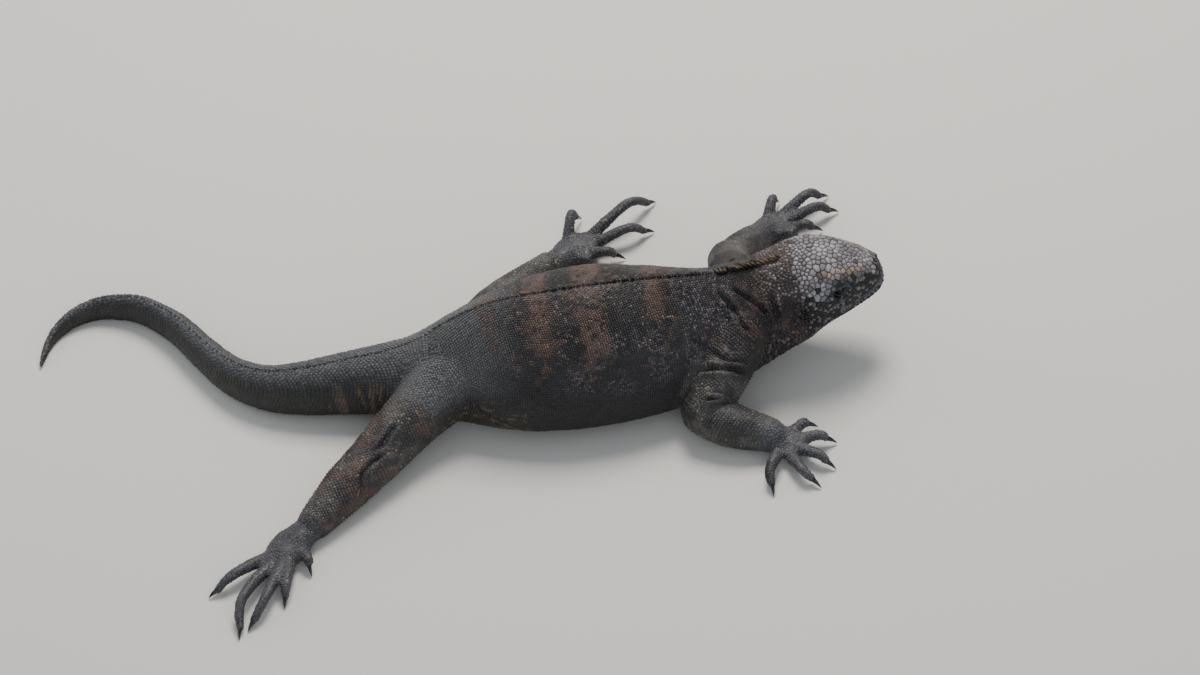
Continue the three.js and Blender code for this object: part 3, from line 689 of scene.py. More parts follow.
def neckLayers(points, dice):
    x, y, z = points.T
    neck = ramp(x, 74, 92) * (np.abs(y - 4) < 40)
    blotch = ramp(fractal(points, 5.5, 88), 0.47, 0.57) * neck * ramp(z, 26, 44)
    nape = ramp(x, 96, 106) * ramp(z + (fractal(points, 6, 89) - 0.5) * 14, 58, 66)
    return [
        ("neck", neck),
        ("rust", np.maximum(blotch * (0.5 + 0.5 * (dice > 0.3)), dice > 0.92) * neck * 0.85),
        ("throatEdge", neck * (dice > 0.72) * ramp(z, 42, 32) * 0.55),
        ("nape", nape * (0.45 + 0.55 * (dice > 0.4))),
        ("crown", nape * (dice > 0.78) * 0.5),
    ]


def tailColour(points, normals):
    # painted light: the tail turns lighter where its surface faces up, as lit from above
    colour = mix(plain(hide["tail"], points), hide["tailPaintedTopLight"], ramp(normals[:, 2], 0.45, 0.95))
    return colour * (0.8 + 0.5 * noise(points * [1.6, 1.6, 0.4], 3.5, 74))[:, None]


def limbColour(points, dice):
    return layered(plain(hide["limb"], points), [
        ("limbLight", ramp(fractal(points, 13, 91), 0.42, 0.62) * 0.7 + (dice > 0.8) * 0.3),
        ("rust", ramp(fractal(points, 9, 95), 0.5, 0.6) * ramp(points[:, 0], -40, -70) * 0.7),
        ("flank", ramp(fractal(points, 7, 99), 0.5, 0.64) * 0.6),
        ("limbFleck", (dice > 0.95) * ramp(fractal(points, 10, 94), 0.42, 0.55) * 0.7),
    ])


def handColour(points):
    # painted shade: the far feet, on the side away from the camera, are darker; the hind feet are darker too
    dim = 1 - 0.3 * ramp(points[:, 1], 30, 60) - 0.25 * ramp(points[:, 0], 0, -60)
    return hide["hand"] * ((0.85 + 0.4 * noise(points, 6, 97)) * dim)[:, None]


def markings(points, normals, dice):
    # the animal's colours at places on its surface, with painted shade in the folds, on the lower flank and
    # the far feet, painted light on the tail's top and painted highlight among the shoulder's salt; dice
    # holds one random number for each place
    x, z = points[:, 0], points[:, 2]
    section = sectionAt(placeOfX(np.clip(x, -300, 171)))
    # below is 0 on the ridge and 1 at the belt
    below = (section["top"] - z) / np.maximum(section["top"] - section["belt"], 1)
    colour = layered(trunkColour(points, dice, below), neckLayers(points, dice))
    colour = mix(colour, tailColour(points, normals), ramp(x, -104, -140))
    streak = ramp(noise(points * [1, 0.3, 0.2], 2.6, 71), 0.58, 0.68) * ramp(below, 0.3, 0.7)
    colour = mix(colour, hide["fleck"], streak * ramp(x, -96, -112) * ramp(x, -176, -150) * 0.6)
    colour = mix(colour, limbColour(points, dice), limbShare(points))
    ends = np.max([handShare(points, limb) for limb in limbs.values()], axis=0)
    colour = mix(colour, handColour(points), ends * 0.8 * (dice < 0.97))
    # painted shade in the folds and round the ear drums
    return colour * paintedFoldShade(points)[:, None]


# Materials: a colour attribute on the mesh, broken up by fine procedural noise

def addNode(tree, kind, settings=None, links=None):
    # settings go on the node or its sockets; links are socket: other node's output
    node = tree.nodes.new(kind)
    for key, value in (settings or {}).items():
        if key in node.inputs:
            node.inputs[key].default_value = value
        else:
            setattr(node, key, value)
    for key, source in (links or {}).items():
        tree.links.new(source, node.inputs[key])
    return node


def newMaterial(name, settings):
    # a material with these values on its shader
    material = bpy.data.materials.new(name)
    material.use_nodes = True
    shader = material.node_tree.nodes["Principled BSDF"]
    for key, value in settings.items():
        shader.inputs[key].default_value = value
    return material, material.node_tree, shader


def hideMaterial(name, roughness, grain, bumpSize, bumpDepth):
    # scaly hide: the painted colour with a fine grain, in mm, and a small bump
    material, tree, shader = newMaterial(name, {"Specular IOR Level": 0.4, "IOR": 1.5})
    place = addNode(tree, "ShaderNodeTexCoord").outputs["Object"]
    colour = addNode(tree, "ShaderNodeAttribute", {"attribute_name": "hideColour"}).outputs["Color"]
    fine = addNode(tree, "ShaderNodeTexNoise", {"Scale": 1 / (grain * mm), "Detail": 4.0}, {"Vector": place})
    spread = {"From Min": 0.3, "From Max": 0.7}
    level = addNode(tree, "ShaderNodeMapRange", dict(spread, **{"To Min": 0.72, "To Max": 1.25}),
                    {"Value": fine.outputs["Fac"]})
    mixed = addNode(tree, "ShaderNodeVectorMath", {"operation": "SCALE"},
                    {"Vector": colour, "Scale": level.outputs["Result"]})
    tree.links.new(mixed.outputs["Vector"], shader.inputs["Base Color"])
    rough = addNode(tree, "ShaderNodeMapRange",
                    dict(spread, **{"To Min": roughness - 0.1, "To Max": roughness + 0.1}),
                    {"Value": fine.outputs["Fac"]})
    tree.links.new(rough.outputs["Result"], shader.inputs["Roughness"])
    pits = addNode(tree, "ShaderNodeTexNoise", {"Scale": 1 / (bumpSize * mm), "Detail": 3.0},
                   {"Vector": place})
    bump = addNode(tree, "ShaderNodeBump", {"Strength": 0.6, "Distance": bumpDepth * mm},
                   {"Height": pits.outputs["Fac"]})
    tree.links.new(bump.outputs["Normal"], shader.inputs["Normal"])
    return material


scaledHide = hideMaterial("scaled hide", 0.47, 0.9, 0.5, 0.12)      # dry hide: broad soft highlights
headHide = hideMaterial("head plates", 0.5, 0.8, 0.4, 0.1)          # smoother, harder plates
spineKeratin = hideMaterial("spine keratin", 0.42, 1.2, 0.6, 0.08)  # crest spines with a low sheen


def paint(thing, colours):
    attribute = thing.data.color_attributes.new("hideColour", "FLOAT_COLOR", "POINT")
    values = np.column_stack([colours, np.ones(len(colours))])
    attribute.data.foreach_set("color", values.astype(np.float32).ravel())


def placePiece(thing, material, nodes=()):
    thing.data.materials.append(material)
    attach(thing, "root")
    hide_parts(*nodes)


fleshNodes = ["head", "neck", "torso_front", "torso_middle", "torso_rear", "tail_base", "tail_front",
              "tail_middle", "tail_rear", "tail_tip"]
fleshNodes += [node for limb in limbs.values() for node in limb["nodes"]]
# painted shade: the hide between the scales is darker, painted at half brightness as the grooves between
# them
paint(skinObject, markings(skinPoints, skinNormals, np.zeros(len(skinPoints))) * 0.5)
placePiece(skinObject, scaledHide, fleshNodes)


# Scales: each is a small dome rooted in the skin, laid in rows towards the tail

# scales run from painted shade at the sunk rim, the groove between scales, to painted highlight at the peak
scaleShape = {"size": 0.62, "sunk": 0.16, "rimPaintedShade": 0.42, "peakPaintedHighlight": 1.2, "patch": 0.0014}
belly = {"below": -0.75, "rows": 2.4, "size": 2.2}  # sine of the turn below which scales are large, in mm


def dome(sides, midSize, midHeight, peak, pointed):
    # a scale's outline, in half lengths: rim, shoulder ring and one peak moved back by pointed
    turns = circle(sides)
    rim = np.stack([np.cos(turns), np.sin(turns), np.zeros(sides)], 1)
    rim[:, 0] *= np.where(rim[:, 0] > 0, 1.12, 0.95)
    shoulder = rim * [midSize, midSize, 1] + [pointed * 0.35, 0, midHeight]
    places = np.concatenate([rim, shoulder, [[pointed, 0, peak]]])
    faces = []
    for corner in range(sides):
        after = (corner + 1) % sides
        faces.append((corner, after, after + sides))
        faces.append((corner, after + sides, corner + sides))
        faces.append((corner + sides, after + sides, 2 * sides))
    # painted shade and highlight for each ring: 0 at the rim, 1 at the peak
    light = np.concatenate([np.zeros(sides), np.full(sides, 0.7), [1.0]])
    return places, np.array(faces), light


templates = {"bead": dome(5, 0.66, 0.62, 0.95, 0.12), "keeled": dome(6, 0.6, 0.5, 1.0, 0.45)}

# The unwrap: the trunk fills its lower half. Each limb has a strip of the upper half, with a block
# for its upper length, its lower length and each digit, as left edge and width.
limbBlocks = [(0.02, 0.18), (0.22, 0.16)] + [(0.58 + 0.08 * digit, 0.07) for digit in range(5)]


def atlasTrunk(arc, turn):
    return np.stack([0.02 + 0.96 * arc / fineArc[-1], 0.02 + 0.44 * (turn / (2 * math.pi) % 1)], 1)


def atlasLimb(strip, block, share, turn):
    left, wide = limbBlocks[block]
    return np.stack([left + wide * share, 0.5 + 0.125 * strip + 0.11 * (turn / (2 * math.pi) % 1)], 1)


def joinSites(groups):
    return {key: np.concatenate([group[key] for group in groups]) for key in groups[0]}


def keepSites(sites, wanted):
    return {key: value[wanted] for key, value in sites.items()}


rowChance = np.random.default_rng(5)


def ringSites(surfaceAt, pitchAt, stagger, samples):
    # evenly spaced turns round one ring, by real distance
    turns = np.linspace(0, 2 * math.pi, samples)
    steps = np.linalg.norm(np.diff(surfaceAt(turns), axis=0), axis=1)
    lengths = np.concatenate([[0], np.cumsum(steps / pitchAt(turns[1:]))])
    count = max(int(round(lengths[-1])), 3)
    return np.interp((np.arange(count) + stagger) / count * lengths[-1], lengths, turns)


def bellyOr(turns, onBelly, elsewhere):
    return np.where(np.sin(turns) < belly["below"], onBelly, elsewhere)


def gatherTrunk(placeFrom, placeTo, pitchLong, pitchAcross):
    first, last = arcOfPlace([placeFrom, placeTo])
    groups = []
    for row, arc in enumerate(np.arange(first, last, pitchLong)):
        place = placeOfArc([arc])
        turns = ringSites(lambda angles: trunkSurface(np.repeat(place, len(angles)), angles),
                          lambda angles: bellyOr(angles, belly["rows"], pitchAcross), 0.5 * (row % 2), 200)
        turns = turns + rowChance.normal(0, 0.1, len(turns)) * pitchAcross / 60
        slant = (9 * np.cos(turns) + 5 * np.sin(2 * turns)) * min(1, row / 12)
        jitter = rowChance.normal(0, 0.07, len(turns)) * pitchLong
        places = placeOfArc(np.clip(arc + slant + jitter, first, last))
        here = trunkSurface(places, turns)
        behind = trunkSurface(np.minimum(places + 0.08, lastSection), turns)
        groups.append({"at": here, "back": unit(behind - here),
                       "uv": atlasTrunk(np.full(len(turns), arc), turns),
                       "pitch": bellyOr(turns, belly["size"], (pitchLong + pitchAcross) / 2)})
    return joinSites(groups)


def gatherTube(tube, strip, block, pitch, shareTo=1.0, slant=1.0):
    length = np.sum(np.linalg.norm(np.diff(np.array(tube[0], float), axis=0), axis=1))
    count = max(int(length * shareTo / pitch), 2)
    groups = []
    for row in range(count):
        share = shareTo * (row + 0.5) / count
        turns = ringSites(lambda angles: tubeSurface(tube, np.full(len(angles), share), angles)[0],
                          lambda angles: pitch, 0.5 * (row % 2), 60)
        turns = turns + rowChance.normal(0, 0.08, len(turns)) * pitch / 12
        lean = 0.1 * np.cos(turns) * min(1, row / 6) * (pitch / 1.6) * slant
        jitter = rowChance.normal(0, 0.1, len(turns)) * pitch / length
        here, along = tubeSurface(tube, np.clip(share + lean + jitter, 0, 1), turns)
        groups.append({"at": here, "back": along,
                       "uv": atlasLimb(strip, block, np.full(len(turns), share), turns),
                       "pitch": np.full(len(turns), pitch)})
    return joinSites(groups)


neighbourCells = list(np.ndindex(3, 3, 3))


def thinSites(sites, share):
    # drop sites closer than a share of their pitch to one already kept
    grid = {}
    wanted = np.zeros(len(sites["at"]), bool)
    keys = [tuple(key) for key in np.floor(sites["at"] / 3.0).astype(int).tolist()]
    for index, (point, (a, b, c), pitch) in enumerate(zip(sites["at"], keys, sites["pitch"])):
        cells = [grid.get((a + i - 1, b + j - 1, c + k - 1), ()) for i, j, k in neighbourCells]
        limit = (pitch * share) ** 2
        if all((point - other) @ (point - other) >= limit for cell in cells for other in cell):
            wanted[index] = True
            grid.setdefault((a, b, c), []).append(point)
    return keepSites(sites, wanted)


def scaleMesh(name, sites, template, tall, colours, chance):
    # one joined mesh: a scale at each site, in the skin's own directions
    shape, faces, light = templates[template]
    count = len(sites["at"])
    normal = sites["normal"]
    back = unit(sites["back"] - normal * np.sum(sites["back"] * normal, 1, keepdims=True))
    side = np.cross(normal, back)
    grow = sites["pitch"] * scaleShape["size"] * chance.normal(1, 0.06, count)
    rise = tall * sites["pitch"] * chance.normal(1, 0.15, count)
    local = shape[None] * np.stack([grow, grow, rise], 1)[:, None]
    points = (sites["at"][:, None] + back[:, None] * local[..., :1] + side[:, None] * local[..., 1:2]
              + normal[:, None] * (local[..., 2:] - scaleShape["sunk"]))
    points[..., 2] = np.maximum(points[..., 2], 0.03)
    allFaces = (faces[None] + np.arange(count)[:, None, None] * len(shape)).reshape(-1, 3)
    thing = meshObject(name, points.reshape(-1, 3), allFaces)
    # colours times painted shade at the rim up to painted highlight at the peak
    paintedShades = scaleShape["rimPaintedShade"] + (scaleShape["peakPaintedHighlight"] - scaleShape["rimPaintedShade"]) * light
    paint(thing, (colours[:, None] * paintedShades[None, :, None]).reshape(-1, 3))
    places = sites["uv"][:, None] + shape[None, :, :2] * scaleShape["patch"]
    bakeMap(thing, places.reshape(-1, 2), allFaces.ravel())
    return thing


def splitPieces(name, sites, template, tall, seed):
    # pieces of fewer than 200,000 triangles
    chance = np.random.default_rng(seed)
    count = len(sites["at"])
    colours = markings(sites["at"], sites["normal"], chance.random(count))
    colours = colours * (0.78 + 0.44 * chance.random(count))[:, None]
    parts = math.ceil(count / (195000 // len(templates[template][1])))
    for part in range(parts):
        chosen = np.arange(count)[count * part // parts:count * (part + 1) // parts]
        thing = scaleMesh(name + "." + str(part + 1), keepSites(sites, chosen), template, tall,
                          colours[chosen], chance)
        placePiece(thing, scaledHide)
    print(name, count, "scales")


headBack = 120.0  # x in mm where the head's plates give way to the neck's scales


def onHead(points, room=0.0):
    # the head's plates begin at an edge which wanders from place to place
    edge = headBack + (fractal(points, 7, 111) - 0.5) * 20
    return (points[:, 0] > edge - room) & (np.abs(points[:, 1] - headMiddle) < headHalfSpan)


def settle(sites, reach):
    # snap sites to the skin and drop those that lie deep inside the body
    places, normals = snap(sites["at"])
    gap = np.linalg.norm(places - sites["at"], axis=1)
    return keepSites(dict(sites, at=places, normal=normals), gap < reach)


def fillSites(sites, seed, tries):
    # seeded random places on the skin where no row reaches
    at, normal = scatter(np.random.default_rng(seed), skinCorners, tries)
    tree = treeOf(sites["at"])
    nearest, gaps = np.array([tree.find(point)[1:] for point in at]).T
    nearest = nearest.astype(int)
    wanted = ~onHead(at, 0.8) & (gaps > 0.8 * sites["pitch"][nearest]) & (at[:, 2] > 0.5)
    onNeck = (at[:, 0] > 94) & (np.abs(at[:, 1] - 5) < 34) & (limbShare(at) < 0.5)
    throat = ramp(at[:, 2], 46, 34) * ramp(at[:, 0], 92, 100)
    pitch = np.where(onNeck, 1.85 + 0.8 * throat, np.minimum(sites["pitch"][nearest], 1.6))
    uv = atlasTrunk(arcOfPlace(placeOfX(at[:, 0])), np.arctan2(at[:, 2] - 36, at[:, 1] - 4))
    filled = {"at": at, "back": np.where(onNeck[:, None], [-1.0, 0, 0], sites["back"][nearest]),
              "uv": np.where(onNeck[:, None], uv, sites["uv"][nearest]), "pitch": pitch, "normal": normal}
    return thinSites(keepSites(filled, wanted), 0.8)


neckBack, tailFront = placeOfX([94, -100])
trunkRows = [gatherTrunk(neckBack, tailFront, 1.4, 1.4), gatherTrunk(tailFront, lastSection, 2.3, 1.6)]
limbRows, digitRows = [], []
for strip, limb in enumerate(limbs.values()):
    limbRows.append(gatherTube(limb["upper"], strip, 0, 1.6))
    limbRows.append(gatherTube(limb["lower"], strip, 1, 1.6))
    for block, digit in enumerate(limb["digits"]):
        digitRows.append(gatherTube(digitTube(limb, digit, 0.1), strip, 2 + block, 1.5, 0.97, 0.0))
bodySites = joinSites([settle(joinSites(trunkRows), 1.4), settle(joinSites(digitRows + limbRows), 1.4)])
bodySites = thinSites(keepSites(bodySites, ~onHead(bodySites["at"], 0.6)), 0.72)
print("rows give", len(bodySites["at"]), "scales")

bodySites = joinSites([bodySites, fillSites(bodySites, 17, 230000)])
onLimb = limbShare(bodySites["at"]) > 0.5
onTail = (bodySites["at"][:, 0] < -104) & ~onLimb
onNeck = (bodySites["at"][:, 0] > 86) & ~onLimb
onTorso = ~onLimb & ~onTail & ~onNeck
splitPieces("scales_torso", keepSites(bodySites, onTorso), "bead", 0.46, 1)
splitPieces("scales_neck", keepSites(bodySites, onNeck), "keeled", 0.5, 2)
splitPieces("scales_tail", keepSites(bodySites, onTail), "keeled", 0.36, 3)
splitPieces("scales_limbs", keepSites(bodySites, onLimb), "keeled", 0.42, 4)


# Head plates: sites spread over the head's skin, each grown to meet its neighbours

# widths of plates by region, spacing of the rows, and the shape of a plate, in mm or shares of its width
headPlate = {"crown": 3.2, "snout": 2.4, "cheek": 1.8, "throat": 2.5, "nape": 2.1, "lid": 1.15,
             "lipStep": 2.4, "lipRise": 1.75, "browStep": 2.2, "browRise": 7.4, "apart": 0.86, "corners": 10,
             "reach": 0.95, "groove": 0.16, "sunk": 0.45, "patch": 0.0015}


def plateSpacing(points):
    x, z = points[:, 0], points[:, 2]
    regions = [("cheek", ramp(z, 58, 46)), ("nape", ramp(x, 132, 122)),
               ("throat", ramp(z - mouthHeight(x), -4, -9))]
    for side in (-1, 1):
        near = np.linalg.norm(points - sidePoint(eye["x"], eye["z"], side), axis=1)
        regions.append(("lid", ramp(near, 8.5, 5.5)))
    size = headPlate["crown"] + (headPlate["snout"] - headPlate["crown"]) * ramp(x, 140, 158)
    size = size * (0.72 + 0.62 * noise(points, 4.5, 113))
    for name, share in regions:
        size = size + (headPlate[name] - size) * share
    return size


def plateRows():
    # a row of plates along each edge of the mouth, and one over each eye
    seeds = []
    for rise in (-headPlate["lipRise"], headPlate["lipRise"]):
        for x in np.arange(mouth["from"] + 1, 169.5, headPlate["lipStep"]):
            seeds += [sidePoint(x, mouthHeight(x) + rise, side) for side in (-1, 1)]
        seeds.append(np.array([171.5, 7, mouthHeight(171.0) + rise]))
    for side in (-1, 1):
        for x in np.arange(137.5, 157, headPlate["browStep"]):
            seeds.append(sidePoint(x, eye["z"] + headPlate["browRise"] + 0.12 * (x - 146), side))
    return snap(np.array(seeds))[0]


def headSites(seed, tries):
    near = skinCorners[onHead(skinPoints[skinCorners].mean(1), 2)]
    at = np.concatenate([plateRows(), scatter(np.random.default_rng(seed), near, tries)[0]])
    inMouth = (np.abs(at[:, 2] - mouthHeight(at[:, 0])) < 0.75) & (at[:, 0] > mouth["from"])
    hidden = ~onHead(at) | inMouth
    for side in (-1, 1):
        out, long, up = eyeOffsets(at, side)
        inSocket = np.hypot(long / (socket["long"] + 0.5), up / (socket["tall"] + 0.5)) < 1
        hidden |= (inSocket & (np.abs(out) < 8)) | (nostrilGap(at, side) < 1.9)
    at = at[~hidden]
    return thinSites({"at": at, "pitch": plateSpacing(at)}, headPlate["apart"])


def clipCell(cell, middle, direction):
    # the part of a flat polygon on the near side of a line
    ahead = (cell - middle) @ direction
    kept = []
    for index in range(len(cell)):
        after = (index + 1) % len(cell)
        if ahead[index] <= 0:
            kept.append(cell[index])
        if (ahead[index] <= 0) != (ahead[after] <= 0):
            share = ahead[index] / (ahead[index] - ahead[after])
            kept.append(cell[index] + (cell[after] - cell[index]) * share)
    return np.array(kept)


def growCell(index, at, pitch, axes, tree):
    # a flat polygon round one site, cut off where its neighbours' plates begin
    size = pitch[index]
    turns = circle(headPlate["corners"])
    cell = np.stack([np.cos(turns), np.sin(turns)], 1) * size * headPlate["reach"]
    for place, other, gap in tree.find_n(at[index], 14):
        if other != index and gap < size * 2.4 and len(cell) > 2:
            flat = axes @ (at[other] - at[index])
            cell = clipCell(cell, flat * (size / (size + pitch[other])), flat)
    return cell


def plateRise(point):
    # height for its width: low on the crown, conical at the temples and nape
    return 0.17 + 0.22 * float(ramp(point[:1], 134, 122)[0])


def plateMesh(sites, seed):
    # one joined mesh: each plate has a sunk rim, a shoulder, an upper ring and a peak
    random = np.random.default_rng(seed)
    at, normals = snap(sites["at"])
    tree = treeOf(at)
    points, faces, paintedShades, owners, uvs = [], [], [], [], []
    offset = 0
    for index, (point, normal, size) in enumerate(zip(at, normals, sites["pitch"])):
        side = unitOf(np.cross(normal, [1.0, 0.1, 0.05]))
        axes = np.stack([side, np.cross(side, normal)])
        cell = growCell(index, at, sites["pitch"], axes, tree)
        count = len(cell)
        if count < 3:
            continue
        centre = cell.mean(0)
        rim = (cell - centre) * (1 - headPlate["groove"] / size)
        rise = size * plateRise(point) * random.normal(1, 0.15)
        levels = ((rim, -headPlate["sunk"]), (rim * 0.95, 0.45 * rise), (rim * 0.66, 0.88 * rise),
                  (np.zeros((1, 2)), rise))
        points += [point + (centre + ring) @ axes + normal * height for ring, height in levels]
        for corner in range(count):
            a, b = offset + corner, offset + (corner + 1) % count
            for level in (0, count):
                faces.append((a + level, b + level, b + level + count))
                faces.append((a + level, b + level + count, a + level + count))
            faces.append((a + 2 * count, b + 2 * count, offset + 3 * count))
        # painted shade on the sunk rim, the groove between plates, up to painted highlight on the peak
        paintedShades.append(np.repeat([0.2, 0.74, 1.0, 1.1], [count, count, count, 1]))
        owners.append(np.full(3 * count + 1, index))
        place = placeOfX(point[:1])
        turn = np.arctan2(point[2] - sectionAt(place)["belt"], point[1] - headMiddle)
        spread = np.concatenate([np.tile(rim / size * headPlate["patch"], (3, 1)), [[0, 0]]])
        uvs.append(atlasTrunk(arcOfPlace(place), turn) + spread)
        offset += 3 * count + 1
    return [np.concatenate(part) for part in (points, paintedShades, owners, uvs)] + [np.array(faces), at]


browLine = np.array([(131, -14, 69.5), (136, -12, 69.5), (145, -9.5, 68.5), (152, -6, 66.5),
                     (158, -3, 64.5)])
# x, and the height there where the pale crown ends
crownEdge = [[116, 120, 124, 131, 146, 156, 163, 168], [71, 66, 63, 65, 66, 63, 60.5, 56]]


def headMarkings(points, dice):
    x, y, z = points.T
    above = z - mouthHeight(x)
    edge = (fractal(points, 6, 118) - 0.5) * 4
    crown = z - np.interp(x, *crownEdge)
    bead = ramp(above, 6, 12) * ramp(crown, 2, 0) * ramp(x, 142, 134) * ramp(x, 116, 122)
    colour = layered(plain(hide["crown"], points), [
        ("crownDark", ramp(noise(points, 5, 121), 0.45, 0.75) * 0.6 + (dice > 0.78) * 0.35),
        ("cheek", ramp(crown + edge, 1, -2.5)),
        ("cheekBead", bead * (dice > 0.35) * ramp(crown, -15, -2)),
        ("cheekBead", (dice > 0.7) * ramp(crown, 0, -3) * 0.42),
        ("lip", ramp(np.abs(above - 1.9), 2.2, 1.4) * ramp(x, 147, 156) * 0.75),
        ("cheek", ramp(x, 165.5, 168.5) * ramp(above, 3.5, 5) * 0.9),
    ])
    for line in (browLine, [0, 12.6, 0] + browLine * [1, -1, 1]):
        line = hermite(line, np.linspace(0, len(line) - 1, 40))
        gap = np.linalg.norm(points[:, None] - line[None], axis=2).min(1)
        stripe = ramp(gap + edge * 0.3, 2.4, 1.0) * ramp(x, 132, 139) * (0.3 + 0.6 * dice)
        colour = mix(colour, hide["brow"], stripe)
    throat = mix(plain(hide["throat"], points), hide["throatEdge"], (dice > 0.72) * 0.8)
    colour = mix(colour, throat, ramp(above, -2.5, -6))
    neck = mix(plain(hide["neck"], points), hide["rust"], (dice > 0.62) * 0.8)
    colour = mix(colour, neck, ramp(x + edge * 1.5, 125, 117) * ramp(z, 68, 60))
    colour = mix(colour, hide["nape"], ramp(x + edge * 2, 127, 114) * (dice < 0.72) * 0.75)
    # painted shade in the folds and round the ear drums
    return colour * paintedFoldShade(points)[:, None]


platePoints, platePaintedShades, plateOwners, plateUvs, plateFaces, plateAt = plateMesh(headSites(23, 90000), 24)
plates = meshObject("head_plates", platePoints, plateFaces)
plateColours = headMarkings(plateAt, np.random.default_rng(25).random(len(plateAt)))
plateColours = plateColours * (0.74 + 0.44 * np.random.default_rng(26).random(len(plateAt)))[:, None]
# plate colours times their painted shade and highlight
paint(plates, plateColours[plateOwners] * platePaintedShades[:, None])
bakeMap(plates, plateUvs, plateFaces.ravel())
placePiece(plates, headHide)
print("head plates", len(plateAt), "faces", len(plateFaces))


# Claws: black horn, curved, flattened from side to side and sunk into the toe

claw = {"rings": 11, "sides": 12, "radius": 1.95, "rise": 1.7, "flat": 0.8, "sunk": 1.6, "lowest": 0.1}


def clawMesh(stop, tip):
    middle = (stop + tip) / 2 + [0, 0, claw["rise"]]
    start = stop + unitOf(stop - middle) * claw["sunk"]
    across, upward = np.cos(circle(claw["sides"]))[:, None], np.sin(circle(claw["sides"]))[:, None]
    rings = []
    for share in np.linspace(0, 1, claw["rings"]):
        centre = (1 - share) ** 2 * start + 2 * share * (1 - share) * middle + share ** 2 * tip
        along = unitOf(2 * (1 - share) * (middle - start) + 2 * share * (tip - middle))
        side = unitOf(np.cross([0, 0, 1.0], along))
        radius = claw["radius"] * (1 - share ** 1.6 * 0.93)
        rings.append(centre + radius * (across * side * claw["flat"] + upward * np.cross(along, side)))
    points, faces = loft(rings)
    points[:, 2] = np.maximum(points[:, 2], claw["lowest"])
    return points, faces


# black horn, polished by use
hornBlack, hornTree, hornShader = newMaterial("claw horn", {"Roughness": 0.24, "IOR": 1.54})
hornGrain = addNode(hornTree, "ShaderNodeTexNoise", {"Scale": 1 / (0.7 * mm), "Detail": 3.0})
hornMix = addNode(hornTree, "ShaderNodeMix", {"data_type": "RGBA"}, {"Factor": hornGrain.outputs["Fac"]})
hornMix.inputs["A"].default_value = (*tint("#070606"), 1)
hornMix.inputs["B"].default_value = (*tint("#1d1916"), 1)
hornTree.links.new(hornMix.outputs["Result"], hornShader.inputs["Base Color"])

for limbName, limb in limbs.items():
    for digitName, digit in zip(digitNames, limb["digits"]):
        start, knuckle, stop, tip = digitPath(limb, digit)
        end = ("hand" if "arm" in limbName else "foot") + "_" + limbName.split("_")[1] + "_" + digitName
        horn = meshObject("horn_" + end, *clawMesh(stop, tip), smooth=True)
        placePiece(horn, hornBlack, ["claw_" + end])
print("claws done")


# Crest of spines down the nape, back and tail

# from and to are x in mm; tall is the height at the row's front, two fifths along it and its end
crestRows = [
    {"name": "crest.nape", "from": 112, "to": 74, "step": 2.5, "tall": (3.4, 6.6, 4.6), "lean": 0.55,
     "wide": 1.25, "rows": 2, "apart": 1.3},
    {"name": "crest.back", "from": 75, "to": -97, "step": 1.75, "tall": (3.6, 3.2, 1.5), "lean": 0.45,
     "wide": 0.85, "rows": 1, "apart": 0},
    {"name": "crest.tail", "from": -98, "to": -306, "step": 2.1, "tall": (1.6, 2.3, 1.5), "lean": 0.5,
     "wide": 0.85, "rows": 1, "apart": 0},
]
spine = {"sides": 8, "rings": 7, "across": 0.7, "along": 1.1, "sunk": 0.5, "patch": 0.0015}
spineColours = {"nape": "#1d1817", "napeFront": "#6f5c4c", "napeTip": "#94805f", "tip": "#4a4540"}


def ridgePoint(place):
    section = sectionAt(place)
    return np.array([section["x"][0], section["y"][0], section["top"][0]])


def spineRoot(place, across, aside):
    # a place on the skin beside the ridge, sunk a little
    section = sectionAt(place)
    root = ridgePoint(place) * [1, 1, 0] + across * aside
    root[2] = np.interp(abs(aside), [0, section["half"][0]], [section["top"][0], section["belt"][0]])
    root[2] = snap([root + [0, 0, 2]])[0][0][2] - spine["sunk"]
    return root


